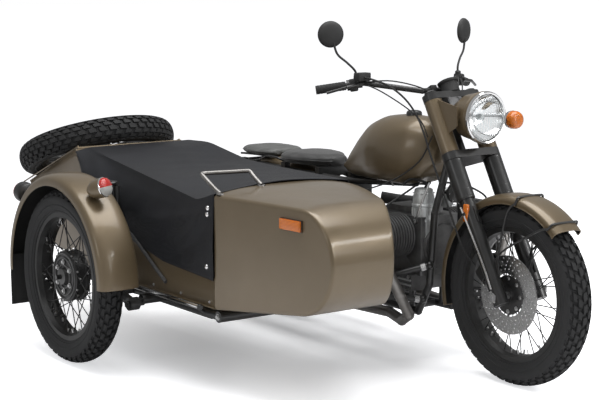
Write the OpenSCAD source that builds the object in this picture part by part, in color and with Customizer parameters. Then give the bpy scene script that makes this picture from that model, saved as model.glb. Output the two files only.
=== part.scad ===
// Sidecar motorcycle: a flat-twin motorcycle with a one-seat sidecar on its right.
// Millimetres, +Z up, the front faces -Y, the sidecar stands on the -X side.
// Inside the modules y = 0 is the front axle and x = 0 the motorcycle's centre plane;
// placed() then moves the whole vehicle so that its origin is the middle of its footprint.

/* [Layout] */
// Distance between the front and rear axles
wheelbase = 1505; // [1420:5:1600]
// Distance from the motorcycle's centre plane to the sidecar wheel
track = 1185; // [1150:5:1260]
// How far the sidecar wheel stands ahead of the rear axle
wheel_lead = 226; // [190:2:260]
// Width of the handlebar over its ends
bar_width = 800; // [740:10:860]

/* [Wheels] */
// Outer diameter of the tyres
tyre_d = 690; // [670:2:710]
// Width of the tyres
tyre_w = 110; // [100:1:116]
// Radius of the rim where the tyre's bead sits
bead_r = 241; // [235:1:245]
// Width of the rim between its flanges
rim_w = 66; // [60:1:72]
// Spokes in each wheel, a multiple of four
spoke_count = 36; // [24:4:40]
// Diameter of a spoke
spoke_d = 4; // [3:0.2:5]
// Diameter of the wheel axles
axle_d = 20; // [17:0.5:24]
// Diameter of the front brake disc
disc_d = 295; // [260:5:310]
// Outer diameter of the drum hubs
drum_d = 200; // [180:2:220]

/* [Fork and steering] */
// Angle of the fork from upright
rake = 29; // [26:0.5:31]
// Distance of the fork legs ahead of the steering axis
fork_offset = 58; // [48:1:64]
// Distance of each fork leg from the centre plane
leg_x = 98; // [92:1:104]
// Diameter of the lower fork legs
slider_d = 58; // [52:1:62]
// Diameter of the upper fork tubes
stanchion_d = 48; // [41:1:52]
// Height of the lower clamp along the fork leg, from the axle
clamp_low = 545; // [530:5:560]
// Height of the upper clamp along the fork leg, from the axle
clamp_top = 806; // [795:1:815]
// Diameter of the headlight
light_d = 200; // [180:2:210]
// Height of the headlight's centre
light_z = 985; // [970:1:1000]

/* [Frame and engine] */
// Diameter of the main frame tubes
frame_tube = 32; // [28:1:36]
// Height of the cradle's lower tubes
cradle_z = 205; // [190:5:220]
// Height of the crankshaft
crank_z = 470; // [455:1:485]
// Position of the cylinders behind the front axle
cylinder_y = 545; // [535:1:555]
// Width over the cylinder heads
engine_width = 780; // [740:5:800]
// Outer size of the cylinder fins
fin_d = 170; // [150:2:180]

/* [Tank and seats] */
// Width of the fuel tank
tank_w = 290; // [260:5:310]
// Height of the tank's top
tank_top = 966; // [955:1:975]
// Height of the driver's seat
seat_z = 762; // [752:1:775]
// Width of the driver's seat
seat_w = 290; // [260:5:310]

/* [Sidecar body] */
// Distance of the body's outer wall from the motorcycle's centre plane
body_out = 1000; // [980:1:1010]
// Distance of the body's inner wall from the motorcycle's centre plane
body_in = 400; // [385:1:430]
// Underside of the body
body_low = 318; // [310:1:330]
// Height of the cockpit's rim
rim_z = 735; // [725:1:750]
// Height of the trunk's front edge
trunk_z = 796; // [785:1:805]
// Thickness of the body's walls
body_wall = 4; // [3:0.5:6]
// Angle of the sloping trunk lid
lid_slope = 20.5; // [18:0.5:23]
// Radius of the rounded nose in side view
nose_r = 190; // [180:1:198]
// Thickness of the fabric cover
cover_t = 5; // [4:0.5:7]

/* [Fenders] */
// Radius of the sidecar fender over the wheel's centre
fender_r = 408; // [395:1:420]
// Width of the sidecar fender
fender_w = 170; // [160:2:180]
// Radius of the front fender
front_fender_r = 376; // [370:1:385]
// Width of the front fender
front_fender_w = 146; // [136:2:150]
// Thickness of the fender sheet
sheet = 3; // [2:0.5:4]

/* [Hidden] */
$fn = 64;
// Clearances: a running fit, a seat between still pieces and a soft piece's gap
run = 0.05;
seat = 0.3;
soft = 0.4;

tyre_r = tyre_d/2;
hub_z = tyre_r;
rear_y = wheelbase;
side_x = -track;
side_y = wheelbase - wheel_lead;
rim_in = bead_r - 12;
flange_r = bead_r + 12;
flange_t = 4;
drum_r = drum_d/2;
drum_w = 64;
front_hub_r = 52;
front_hub_w = 72;

// Steering axis: a point on it, and directions along and behind it
up = [0, sin(rake), cos(rake)];
back = [0, cos(rake), -sin(rake)];
front_hub = [0, 0, hub_z];
steer_0 = front_hub + fork_offset*back;
light_y = 196;

lid_t = 6;
lid_gap = 1;
trunk_y = 1665;
tail_y = 2262;
tail_z = trunk_z - (tail_y - trunk_y)*tan(lid_slope);
body_mid = -(body_out + body_in)/2;
nose_y = 525;
nose_cy = 75;
nose_cz = body_low + 52 + nose_r;

spare_y = 1980;
spare_x = body_mid + 15;
spare_lift = tyre_w/2 + 14;
lid_n = [0, sin(lid_slope), cos(lid_slope)];
lid_mid = [spare_x, spare_y - spare_lift*sin(lid_slope),
    trunk_z + lid_gap + lid_t/cos(lid_slope) - (spare_y - spare_lift*sin(lid_slope) - trunk_y)*tan(lid_slope)];
spare_mid = lid_mid + spare_lift*lid_n;

// Handlebar: the outer end of the left grip, the bend before it and the clamped middle
grip_l = 118;
grip_d = 34;
grip_run = [150, 110, -28];
grip_dir = grip_run/norm(grip_run);
bar_end = bar_width/2 - grip_d/2*norm([grip_dir[1], grip_dir[2]]);
bar_tip = [bar_end, 742, 1072];
bar_bend = bar_tip - grip_run;
riser_h = 42;
bar_clamp = front_hub + (clamp_top + 12 + seat + riser_h)*up + 51*back;

// Corners of the footprint, for the origin in its middle
x_min = side_x - fender_w/2;
x_max = bar_width/2;
y_min = -tyre_r;
y_max = spare_mid[1] + max([for (p = tyre_section()) p[0]*cos(lid_slope) + p[1]*sin(lid_slope)]);

paint = [0.42, 0.38, 0.31];
black = [0.09, 0.09, 0.10];
rubber = [0.13, 0.13, 0.13];
steel = [0.62, 0.63, 0.64];
alloy = [0.66, 0.67, 0.66];
fabric = [0.13, 0.14, 0.16];

// ---- helpers ----

// A round bar from p to q
module bar(p, q, d, fn = 32) {
    v = q - p;
    len = norm(v);
    translate(p) rotate([0, acos(v[2]/len), atan2(v[1], v[0])]) cylinder(d = d, h = len, $fn = fn);
}

// Bars joined end to end, with a slightly fuller ball at each bend; turn lays the ball's poles over
module bent(points, d, knuckle = 1.06, turn = 0) {
    for (i = [0 : len(points) - 2]) bar(points[i], points[i + 1], d);
    for (i = [1 : len(points) - 2]) translate(points[i]) rotate([0, turn, 0]) sphere(d = d*knuckle, $fn = 32);
}

// The same shape on both sides of the centre plane
module both_sides() {
    children();
    mirror([1, 0, 0]) children();
}

// A disc or ring about the X axis, from a section of [radius, x] points
module about_x(section) {
    rotate([0, 90, 0]) rotate_extrude($fn = 96) polygon(section);
}

// A cylinder about the X axis, centred
module axle(d, len, x = 0) {
    translate([x, 0, 0]) rotate([0, 90, 0]) cylinder(d = d, h = len, center = true);
}

// A plate in the YZ plane, pushed out along X from x0 to x1
module side_plate(outline, x0, x1) {
    translate([x0, 0, 0]) rotate([90, 0, 90]) linear_extrude(x1 - x0) polygon(outline);
}

// A rounded block between two corners, rounded about Z
module soft_block(low, high, r) {
    x = high[0] - low[0];
    y = high[1] - low[1];
    translate([low[0] + r, low[1] + r, low[2]]) linear_extrude(high[2] - low[2])
        offset(r = r, $fn = 32) square([x - 2*r, y - 2*r]);
}

// A point on the fork leg's line, s along it and x from the centre plane
function on_leg(s, x = 0) = front_hub + s*up + [x, 0, 0];
function on_axis(s, x = 0) = steer_0 + s*up + [x, 0, 0];

// Puts its children with +Z along the fork
module along_fork(s, x = 0, off = 0) {
    translate(on_leg(s, x) + off*back) rotate([-rake, 0, 0]) children();
}

// A tube swept along points, as one closed mesh
function tangent(p, i) = let (n = len(p) - 1, a = p[max(i - 1, 0)], b = p[min(i + 1, n)]) (b - a)/norm(b - a);
function ring_point(c, t, r, a) =
    let (ref = abs(t[2]) > 0.9 ? [1, 0, 0] : [0, 0, 1], u0 = cross(ref, t), u = u0/norm(u0), v = cross(t, u))
    c + r*(cos(a)*u + sin(a)*v);
module swept(p, d, sides = 8) {
    n = len(p);
    pts = [for (i = [0 : n - 1], k = [0 : sides - 1]) ring_point(p[i], tangent(p, i), d/2, 360*k/sides)];
    walls = [for (i = [0 : n - 2], k = [0 : sides - 1]) let (a = i*sides + k, b = i*sides + (k + 1)%sides)
        each [[a, b, b + sides], [a, b + sides, a + sides]]];
    ends = [[for (k = [sides - 1 : -1 : 0]) k], [for (k = [0 : sides - 1]) (n - 1)*sides + k]];
    polyhedron(points = pts, faces = [for (f = concat(walls, ends)) [for (k = [len(f) - 1 : -1 : 0]) f[k]]]);
}

// ---- wheels, about their own centre ----

// Tyre section: round crown, flat sidewalls and a bead that drops into the rim
function tyre_section() = let (h = 44, c = tyre_r - h, w = tyre_w/2, b = rim_w/2 - seat) concat(
    [[bead_r + seat, -b], [flange_r + seat, -b], [flange_r + seat, -b - 6], [c - 34, 6 - w]],
    [for (a = [0 : 15 : 180]) [c + h*pow(sin(a), 0.8), -w*cos(a)]],
    [[c - 34, w - 6], [flange_r + seat, b + 6], [flange_r + seat, b], [bead_r + seat, b]]);

module tyre() {
    about_x(tyre_section());
}

// One laced spoke: k counts round, odd ones lean the other way
module spoke(k, hub_r, hub_half) {
    side = k%2 == 0 ? 1 : -1;
    lean = floor(k/2)%2 == 0 ? 1 : -1;
    a = 360*k/spoke_count;
    b = a + lean*34;
    end = 1.2;
    p = [side*(hub_half + lean*4.5), (hub_r + end)*cos(a), (hub_r + end)*sin(a)];
    q = [side*(9 + lean*2.6), (rim_in - end)*cos(b), (rim_in - end)*sin(b)];
    bar(p, q, spoke_d, 16);
}

module rim() {
    h = rim_w/2;
    about_x([[rim_in, -h/2], [rim_in, h/2], [rim_in + 6, h + flange_t], [flange_r, h + flange_t],
        [flange_r, h], [bead_r, h], [bead_r, -h], [flange_r, -h], [flange_r, -h - flange_t],
        [rim_in + 6, -h - flange_t]]);
}

module laced_rim(hub_r, hub_half) {
    rim();
    for (k = [0 : spoke_count - 1]) spoke(k, hub_r, hub_half);
}

// Drum hub with a flange each side for the spokes
module drum_hub() {
    r = drum_r;
    h = drum_w/2;
    difference() {
        about_x([[0, -h - 14], [32, -h - 14], [36, -h], [r - 8, -h], [r, -h + 3], [r, -h + 16],
            [r - 7, -h + 20], [r - 7, h - 20], [r, h - 16], [r, h - 3], [r - 8, h], [40, h + 4],
            [32, h + 16], [0, h + 16]]);
        axle(axle_d + 2*run, 2*drum_w + 60);
    }
}

// Front hub with the brake disc on its right side
module disc_hub() {
    h = front_hub_w/2;
    r = front_hub_r;
    x = h + 12;
    difference() {
        union() {
            about_x([[0, -h - 16], [28, -h - 16], [28, -h - 4], [r, -h], [r, -h + 12], [r - 14, -h + 16],
                [r - 14, h - 16], [r, h - 12], [r, h], [28, h + 4], [28, h + 16], [0, h + 16]]);
            about_x([[26, -x - 3], [84, -x - 3], [84, -x + 3], [26, -x + 3]]);
            about_x([[80, -x - 2.5], [disc_d/2, -x - 2.5], [disc_d/2, -x + 2.5], [80, -x + 2.5]]);
        }
        axle(axle_d + 2*run, 2*front_hub_w);
        for (a = [0 : 45 : 359]) rotate([a, 0, 0]) translate([-x, 62, 0]) axle(16, 20);
    }
}

module front_tyre() color(rubber) translate(front_hub) tyre();
module front_rim() color(black) translate(front_hub) laced_rim(front_hub_r, front_hub_w/2 - 6);
module front_hub_disc() color(steel) translate(front_hub) disc_hub();
module rear_tyre() color(rubber) translate([0, rear_y, hub_z]) tyre();
module rear_rim() color(black) translate([0, rear_y, hub_z]) laced_rim(drum_r, drum_w/2 - 10);
module rear_hub() color(alloy) translate([0, rear_y, hub_z]) drum_hub();
module sidecar_tyre() color(rubber) translate([side_x, side_y, hub_z]) tyre();
module sidecar_rim() color(black) translate([side_x, side_y, hub_z]) laced_rim(drum_r, drum_w/2 - 10);
module sidecar_hub() color(black) translate([side_x, side_y, hub_z]) drum_hub();

// ---- fork and steering ----

leg_end = clamp_top + 22;
axle_len = 2*leg_x + slider_d + 12;

module fork_legs() color(black) both_sides() difference() {
    union() {
        along_fork(-34, leg_x) cylinder(d = slider_d, h = 424);
        along_fork(385, leg_x) cylinder(d = slider_d + 14, h = clamp_low - 2 - 385);
        along_fork(380, leg_x) cylinder(d = stanchion_d, h = leg_end - 380);
    }
    translate(front_hub) axle(axle_d + 2*run, 3*axle_len);
}

module front_axle() color(steel) translate(front_hub) {
    axle(axle_d, axle_len);
    for (s = [-1, 1]) translate([s*(axle_len/2 - 2), 0, 0]) rotate([0, 90, 0])
        cylinder(d = 34, h = 8, center = true, $fn = 6);
    for (s = [-1, 1]) axle(axle_d + 8, leg_x - slider_d/2 - front_hub_w/2 - 16 - 1,
        s*(leg_x - slider_d/2 + front_hub_w/2 + 16)/2);
}

// One fork clamp: a plate across both legs and the stem
module clamp(s, t) {
    along_fork(s) linear_extrude(t) difference() {
        hull() {
            translate([-leg_x, 0]) circle(d = stanchion_d + 24);
            translate([leg_x, 0]) circle(d = stanchion_d + 24);
            translate([0, fork_offset]) circle(d = 58);
        }
        for (x = [-leg_x, leg_x]) translate([x, 0]) circle(d = stanchion_d + 0.3);
    }
}

stem_d = 30;
module fork_clamps() color(black) {
    clamp(clamp_low, 30);
    clamp(clamp_top - 14, 26);
    along_fork(clamp_low + 20, 0, fork_offset) cylinder(d = stem_d, h = clamp_top - clamp_low - 24);
}

ear_low = clamp_low + 31;
ear_top = clamp_top - 15;
module headlight_ears() color(paint) both_sides() {
    difference() {
        union() {
            along_fork(ear_low, leg_x) cylinder(d = stanchion_d + 22, h = ear_top - ear_low);
            intersection() {
                translate([leg_x + 2, 0, 0]) side_plate([
                    [light_y + 40, light_z - 30], [light_y + 40, light_z + 42], [light_y + 150, light_z + 62],
                    [light_y + 150, light_z - 50], [light_y + 120, light_z - 80]], 0, 6);
                along_fork(ear_low, 0) translate([-200, -400, 0]) cube([400, 500, ear_top - ear_low]);
            }
        }
        along_fork(ear_low - 1, leg_x) cylinder(d = stanchion_d + 12, h = ear_top - ear_low + 2);
    }
}

module headlight_bucket() color(paint) translate([0, light_y, light_z]) {
    boss = leg_x + 20 - light_d/2;
    for (s = [-1, 1]) translate([0, 52, 0]) axle(16, boss, s*(leg_x + 2 - seat - boss/2));
    rotate([-90, 0, 0]) bucket_shell();
}

module bucket_shell() rotate_extrude() difference() {
        polygon([[0, 150], [30, 148], [62, 124], [84, 84], [light_d/2 - 6, 30], [light_d/2 - 2, 14],
            [light_d/2, 0], [light_d/2 - 8, 0], [light_d/2 - 14, 30], [76, 82], [55, 118], [26, 140], [0, 142]]);
        translate([-60, -10]) square([60, 200]);
    }

module headlight_lens() color([0.85, 0.9, 0.92, 0.6]) translate([0, light_y, light_z]) rotate([-90, 0, 0])
    rotate_extrude() polygon([[0, -20], [30, -18.5], [58, -13.5], [80, -6], [light_d/2 - 9, 1],
        [light_d/2 - 9, 4], [78, -2], [56, -9.5], [29, -14.5], [0, -16]]);

module instrument() color(black) along_fork(clamp_top + 12 + seat) translate([0, -8, 0]) {
    cylinder(d = 70, h = 42);
    translate([0, 0, 41]) cylinder(d = 76, h = 8);
}

module handlebar() color(black) {
    both_sides() bent([[0, bar_clamp[1], bar_clamp[2]], [86, bar_clamp[1], bar_clamp[2]], bar_bend,
        bar_tip - 2*grip_dir], 22, turn = 90);
    both_sides() translate([22, bar_clamp[1], bar_clamp[2]]) rotate([-rake, 0, 0])
        translate([0, -17, -riser_h]) cube([28, 34, riser_h + 16]);
}

module grips() color(rubber) both_sides() difference() {
    bar(bar_tip - grip_l*grip_dir, bar_tip, grip_d);
    bar(bar_tip - (grip_l + 10)*grip_dir, bar_tip - 1.5*grip_dir, 22 + 2*seat);
}

// Switch blocks, lever perches and levers, with the master cylinder on the right
module hand_controls() color(black) {
    both_sides() {
        p = bar_tip - (grip_l + 4)*grip_dir;
        lever = [[p[0] - 22, p[1] - 46, p[2] + 4], [p[0] + 30, p[1] - 36, p[2] - 4],
            [bar_end - 6, bar_tip[1] - 62, bar_tip[2] - 8]];
        difference() {
            union() {
                bar(p - 34*grip_dir, p, 42);
                bar(p - 60*grip_dir, p - 38*grip_dir, 34);
                bar(p - 30*grip_dir, lever[0], 15);
                bar(lever[0], lever[1], 13);
                bar(lever[1], lever[2], 11);
            }
            bar(p - 80*grip_dir, p + 20*grip_dir, 22 + 2*seat);
        }
    }
    m = bar_tip - (grip_l + 44)*grip_dir;
    translate([-m[0] - 26, m[1] - 52, m[2] + 16]) cube([52, 34, 30]);
}

mirror_x = 345;
mirror_p = [mirror_x, 702, 1288];
module mirrors() color(black) both_sides() {
    foot = bar_tip - (grip_l + 46)*grip_dir + [0, 0, 18];
    bar(foot, foot + [4, 6, 34], 14);
    bar(foot + [4, 6, 30], [mirror_x - 12, 694, 1240], 9);
    bar([mirror_x - 12, 694, 1238], mirror_p + [0, -8, 0], 9);
    translate(mirror_p) rotate([0, 0, 22]) rotate([-90, 0, 0]) cylinder(d1 = 84, d2 = 104, h = 18, center = true);
    translate(mirror_p) rotate([0, 0, 22]) rotate([-90, 0, 0]) translate([0, 0, 8.5]) cylinder(d = 104, h = 6);
}

signal_out = 121;
module turn_signal() color([0.86, 0.4, 0.08]) {
    bar([leg_x + 9, light_y + 86, light_z - 26], [leg_x + signal_out - 30, light_y + 84, light_z - 26], 16);
    translate([leg_x + signal_out, light_y + 84, light_z - 26]) rotate([90, 0, 0]) {
        cylinder(d = 72, h = 36, center = true);
        translate([0, 0, 17]) cylinder(d1 = 66, d2 = 40, h = 20);
    }
}

// An arched fender about a wheel's X axis between two angles, measured up from the front
module arch(r, w, lip, from, to, t) {
    c = 22;
    outer = [[r - lip, -w/2], [r - c, -w/2], [r - c/3, -w/2 + c/3], [r, -w/2 + c], [r, w/2 - c],
        [r - c/3, w/2 - c/3], [r - c, w/2], [r - lip, w/2]];
    inner = [[r - lip - 1, w/2 - t], [r - c, w/2 - t], [r - c/3 - t, w/2 - c/3 - t], [r - t, w/2 - c],
        [r - t, c - w/2], [r - c/3 - t, c/3 + t - w/2], [r - c, t - w/2], [r - lip - 1, t - w/2]];
    rotate([-from, 0, 0]) rotate([0, 90, 0]) rotate([0, 0, -90])
        rotate_extrude(angle = from - to, $fn = 96) difference() {
            polygon(outer);
            polygon(inner);
        }
}

module front_fender() color(paint) difference() {
    translate(front_hub) arch(front_fender_r, front_fender_w, 34, 46, 196, sheet);
    for (x = [-leg_x, leg_x]) {
        along_fork(280, x) cylinder(d = slider_d + 2*seat, h = 105);
        along_fork(384, x) cylinder(d = slider_d + 6 + 2*seat, h = 100);
    }
}

module brake_caliper() color(black) translate(front_hub) {
    x = -front_hub_w/2 - 12;
    difference() {
        rotate([-140, 0, 0]) difference() {
            union() {
                translate([x - 24, -disc_d/2 - 16, -52]) cube([36, 66, 104]);
                translate([x - 40, -disc_d/2 + 2, -40]) cube([20, 40, 80]);
            }
            translate([x - 6, -disc_d/2 - 6, -60]) cube([12, 70, 120]);
        }
        translate([-leg_x, 0, 0]) rotate([-rake, 0, 0]) cylinder(d = slider_d + 2*seat, h = 400);
    }
}

// Brake hose from the master cylinder down the right fork leg to the caliper
hose_route = [[-262, 594, 1124], [-256, 556, 1118], [-222, 500, 1096], [-186, 448, 1050], [-164, 404, 990],
    [-156, 366, 920], [-154, 334, 850], [-150, 300, 780], [-146, 262, 705], [-144, 222, 630], [-142, 184, 560],
    [-138, 158, 508], [-122, 138, 468], [-104, 124, 446]];
module brake_hose() color(rubber) swept(hose_route, 8);

// ---- motorcycle frame and engine ----

engine_front = cylinder_y - 105;
head_low = clamp_low + 33;
head_top = clamp_top - 17;
rail_x = 96;
side_box_x = 82;
pivot_y = 1090;
pivot_z = 330;

module main_frame() color(black) {
    difference() {
        union() {
            along_fork(head_low, 0, fork_offset) cylinder(d = 56, h = head_top - head_low);
            both_sides() {
                bent([on_axis(head_top - 70) + 16*back, [30, 560, 700], [40, 1010, 664], [rail_x, 1250, 676],
                    [rail_x, rear_y + 195, 684]], frame_tube - 4);
                bent([on_axis(head_low + 60) + 24*back, [68, engine_front - 40, 600],
                    [78, engine_front - 26, 320], [86, engine_front + 30, cradle_z], [60, 1050, cradle_z],
                    [49, pivot_y, pivot_z], [50, 1120, 470], [62, 1200, 640], [rail_x, 1250, 676]], frame_tube - 2);
                for (p = [[78, 520], [70, 690]]) bar([p[0], p[1], cradle_z], [p[0], p[1], crank_z - 178 - seat], 24);
                bar([54, 1140, 520], [side_box_x - seat, 1140, 520], 16);
                translate([82, 1350, 684]) cube([26, 30, seat_z - 52 - soft - 684]);
            }
            for (y = [560, 1010]) translate([0, y, cradle_z]) axle(frame_tube - 6, 2*(86 - (y - 470)*26/580));
            translate([0, 1010, 664]) axle(frame_tube - 8, 80);
            for (p = [[610, 736], [970, 714.9]]) translate([-40, p[0], p[1] - 44]) cube([80, 20, 44]);
            translate([0, rear_y + 195, 684]) axle(frame_tube - 8, 2*rail_x);
            translate([-92, 1124, 668]) cube([184, 30, seat_z - 52 - soft - 668]);
            translate([0, pivot_y, pivot_z]) axle(24, 2*116);
            both_sides() translate([rail_x - 2, rear_y + 55, 690]) cube([26, 26, 12]);
            both_sides() translate([rail_x - 2, rear_y + 155, 690]) cube([26, 26, 12]);
        }
        along_fork(head_low - 1, 0, fork_offset) cylinder(d = stem_d + 2*run, h = head_top - head_low + 2);
        both_sides() for (y = [rear_y + 68, rear_y + 168]) translate([rail_x + 17, y, 660]) cylinder(d = 8.4, h = 60);
    }
}

cover_x = -56;
cover_y = engine_front + 42;
cover_d = 84;
module engine_block() color(alloy) {
    difference() {
        union() {
            translate([-100, engine_front + 4, crank_z - 120]) cube([200, 286, 232]);
            translate([0, engine_front + 290, crank_z - 4]) rotate([90, 0, 0]) cylinder(r = 128, h = 40);
            translate([-132, engine_front + 20, crank_z - 178]) cube([264, 250, 62]);
            translate([-92, engine_front + 288, crank_z - 150]) cube([184, 250, 214]);
            translate([0, engine_front + 6, crank_z - 10]) rotate([90, 0, 0]) cylinder(d = 176, h = 20);
            translate([-58, engine_front + 620, crank_z - 60]) rotate([90, 0, 0]) cylinder(d = 60, h = 90);
            translate([-60, engine_front + 60, crank_z + 110]) cube([120, 200, 26]);
        }
        for (y = [0 : 18 : 216]) translate([-140, engine_front + 34 + y, crank_z - 180]) cube([280, 7, 24]);
        translate([cover_x, cover_y, crank_z + 30]) cylinder(d = cover_d + 2*seat, h = 200);
    }
}

// Upright canister with its cap, on the crankcase's front
module engine_cover() color([0.74, 0.75, 0.74]) {
    translate([cover_x, cover_y, crank_z + 30 + seat]) {
        cylinder(d = cover_d, h = 176);
        translate([0, 0, 175]) cylinder(d = cover_d - 10, h = 14);
        translate([0, 0, 120]) cylinder(d = cover_d + 6, h = 8);
    }
}

barrel_x = 100 + seat;
head_x = engine_width/2 - 84;
module cylinders() color(steel) both_sides() translate([0, cylinder_y, crank_z + 34]) {
    axle(104, head_x - barrel_x, (head_x + barrel_x)/2);
    for (i = [0 : 13]) axle(fin_d, 5, barrel_x + 16 + i*(head_x - barrel_x - 20)/14);
    translate([head_x - 2, -fin_d/2 + 6, -fin_d/2 - 4]) cube([42, fin_d - 12, fin_d + 8]);
    for (i = [0 : 3]) translate([head_x + 2 + i*10, -fin_d/2 - 4, -fin_d/2 - 12]) cube([4, fin_d + 8, fin_d + 24]);
    translate([head_x + 38, 0, 0]) rotate([0, 90, 0]) {
        linear_extrude(34) hull() for (s = [-1, 1]) translate([s*46, 0]) circle(d = 104, $fn = 48);
        linear_extrude(46) hull() for (s = [-1, 1]) translate([s*42, 0]) circle(d = 78, $fn = 48);
    }
}

carb_y = cylinder_y + 150;
head_back = cylinder_y + fin_d/2 + 4;
module carburettors() color(alloy) both_sides() difference() {
    translate([250, carb_y, crank_z + 62]) {
        cylinder(d = 54, h = 84);
        translate([0, 0, 83]) cylinder(d = 60, h = 22);
        translate([0, 0, -46]) cylinder(d = 62, h = 47);
        translate([0, 0, 30]) rotate([-90, 0, 0]) cylinder(d = 44, h = 52);
        bar([76, -90, 6], [0, 0, 30], 40);
    }
    translate([0, head_back + seat - 200, 300]) cube([500, 200, 400]);
}

pipe_d = 42;
silencer_d = 84;
silencer_x = 196;
silencer_z = 196;
port_x = engine_width/2 - 65;
port_y = cylinder_y - fin_d/2 - 4 - seat;
module exhausts() color(steel) both_sides() {
    bent([[port_x, port_y - 20, crank_z + 14], [port_x - 6, port_y - 38, crank_z - 4],
        [port_x - 34, port_y - 44, crank_z - 70], [240, port_y - 56, crank_z - 170],
        [190, port_y - 52, silencer_z + 19], [170, cylinder_y - 75, silencer_z - 16],
        [160, cylinder_y + 15, silencer_z], [silencer_x, 900, silencer_z], [silencer_x, 990, silencer_z]], pipe_d);
    translate([port_x, port_y, crank_z + 14]) rotate([90, 0, 0]) cylinder(d = pipe_d + 12, h = 34);
    bar([silencer_x - 20, 1036, silencer_z], [76.5 + seat, 1036, cradle_z], 16);
    translate([silencer_x, 980, silencer_z]) rotate([-90, 0, 0]) rotate_extrude() polygon([[0, 0], [24, 0],
        [silencer_d/2, 70], [silencer_d/2, 620], [30, 690], [22, 700], [18, 700], [18, 640], [0, 640]]);
}

arm_x = 92;
module rear_swingarm() color(black) {
    difference() {
        union() {
            for (s = [-1, 1]) translate([s*arm_x, pivot_y, pivot_z]) axle(56, 38);
            bar([-arm_x, pivot_y, pivot_z], [-arm_x, rear_y - 92, hub_z - 3], 52);
            bar([arm_x, pivot_y, pivot_z], [arm_x, rear_y, hub_z], 44);
            translate([arm_x, rear_y, hub_z]) axle(64, 34);
            translate([arm_x + 24, rear_y - 60, hub_z + 8]) axle(30, 50);
        }
        translate([0, pivot_y, pivot_z]) axle(24 + 2*run, 400);
    }
    translate([0, rear_y, hub_z]) axle(axle_d, 256, -4);
}

module final_drive() color(alloy) difference() {
    union() {
        translate([-84, rear_y, hub_z]) axle(176, 62);
        translate([-118, rear_y, hub_z]) axle(120, 16);
        bar([-arm_x, rear_y - 91, hub_z - 3], [-arm_x, rear_y - 40, hub_z], 72);
        translate([-130, rear_y - 60, hub_z + 40]) axle(30, 40);
    }
    translate([0, rear_y, hub_z]) axle(axle_d + 2*seat, 400);
}

shock_low = [136, rear_y - 60, hub_z + 12];
shock_top = [130, 1330, 656];
module rear_shocks() color(black) both_sides() {
    u = (shock_top - shock_low)/norm(shock_top - shock_low);
    bar(shock_low + 18*u, shock_top, 18);
    bar(shock_low + 40*u, shock_low + 150*u, 40);
    for (i = [0 : 9]) bar(shock_low + (60 + i*22)*u, shock_low + (72 + i*22)*u, 58);
    bar(shock_low + 262*u, shock_low + 290*u, 50);
    translate(shock_low + [1.5, 0, 0]) axle(38, 14, 3);
    translate(shock_top) axle(34, 36, -10);
}

rear_fender_r = 378;
module rear_fender() color(paint) {
    translate([0, rear_y, hub_z]) arch(rear_fender_r, 158, 44, 30, 205, sheet);
    both_sides() translate([78, rear_y - 85, 640]) cube([rail_x - frame_tube/2 + 2 - 78 - seat, 160, 60]);
}

module tail_light() {
    color([0.55, 0.04, 0.03]) translate([0, rear_y + 350, 560]) {
        translate([-44, 0, 0]) cube([88, 74, 62]);
        difference() {
            translate([-20, -60, -60]) cube([40, 79, 61]);
            translate([0, -350, hub_z - 560]) axle(2*(rear_fender_r + seat), 100);
        }
        difference() {
            translate([-90, 18, -112]) cube([180, 3, 112]);
            for (x = [-70, 70]) translate([x, 10, -36]) rotate([-90, 0, 0]) cylinder(d = 7, h = 30);
        }
    }
}

// Tank outline from the side and from above, an arc at each end
function arc(cy, cz, r, a0, a1, n) = [for (i = [0 : n]) let (a = a0 + (a1 - a0)*i/n) [cy + r*cos(a), cz + r*sin(a)]];
tank_front = 438;
tank_back = 1004;
tunnel = [[430, 945], [462, 908], [500, 852], [570, 740], [1010, 714], [1010, 600], [430, 600]];
module fuel_tank() color(paint) difference() {
    t = tank_top;
    intersection() {
        side_plate(concat(arc(tank_front + 128, t - 128, 128, 196, 92, 12),
            [[660, t], [740, t - 10], [820, t - 40], [888, t - 96], [956, t - 164], [tank_back, t - 226],
            [tank_back - 6, t - 250], [tank_back - 70, t - 276], [560, t - 276], [470, t - 230]]),
            -tank_w/2, tank_w/2);
        translate([0, 0, 600]) linear_extrude(400) polygon([for (s = [1, -1]) each
            let (h = tank_w/2, p = [[tank_front, 30], [tank_front + 40, 78], [tank_front + 100, h - 20],
                [tank_front + 170, h - 3], [tank_front + 240, h], [tank_front + 320, h - 12],
                [tank_front + 420, h - 52], [tank_back - 50, 70], [tank_back, 50]])
            [for (i = [0 : len(p) - 1]) let (q = s == 1 ? p[i] : p[len(p) - 1 - i]) [s*q[1], q[0]]]]);
        rotate([90, 0, 0]) translate([0, 0, -1100]) linear_extrude(800) polygon(concat(
            [[-tank_w/2 + 40, t - 290], [tank_w/2 - 40, t - 290], [tank_w/2, t - 220]],
            arc(0, t - tank_w/2, tank_w/2, 0, 180, 24), [[-tank_w/2, t - 220]]));
    }
    side_plate(tunnel, -58, 58);
}

module driver_seat() color(black) {
    soft_block([-seat_w/2, 1100, seat_z - 52], [seat_w/2, 1396, seat_z], 60);
}

module pillion_seat() color(black) {
    z = hub_z + rear_fender_r + soft;
    soft_block([-125, rear_y - 30, z], [125, rear_y + 220, z + 34], 70);
}

module side_boxes() color(black) {
    translate([-88, 990, 450]) cube([176, 66, 198.6]);
    both_sides() translate([side_box_x, 1080, 430]) cube([60, 180, 190]);
}

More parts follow.
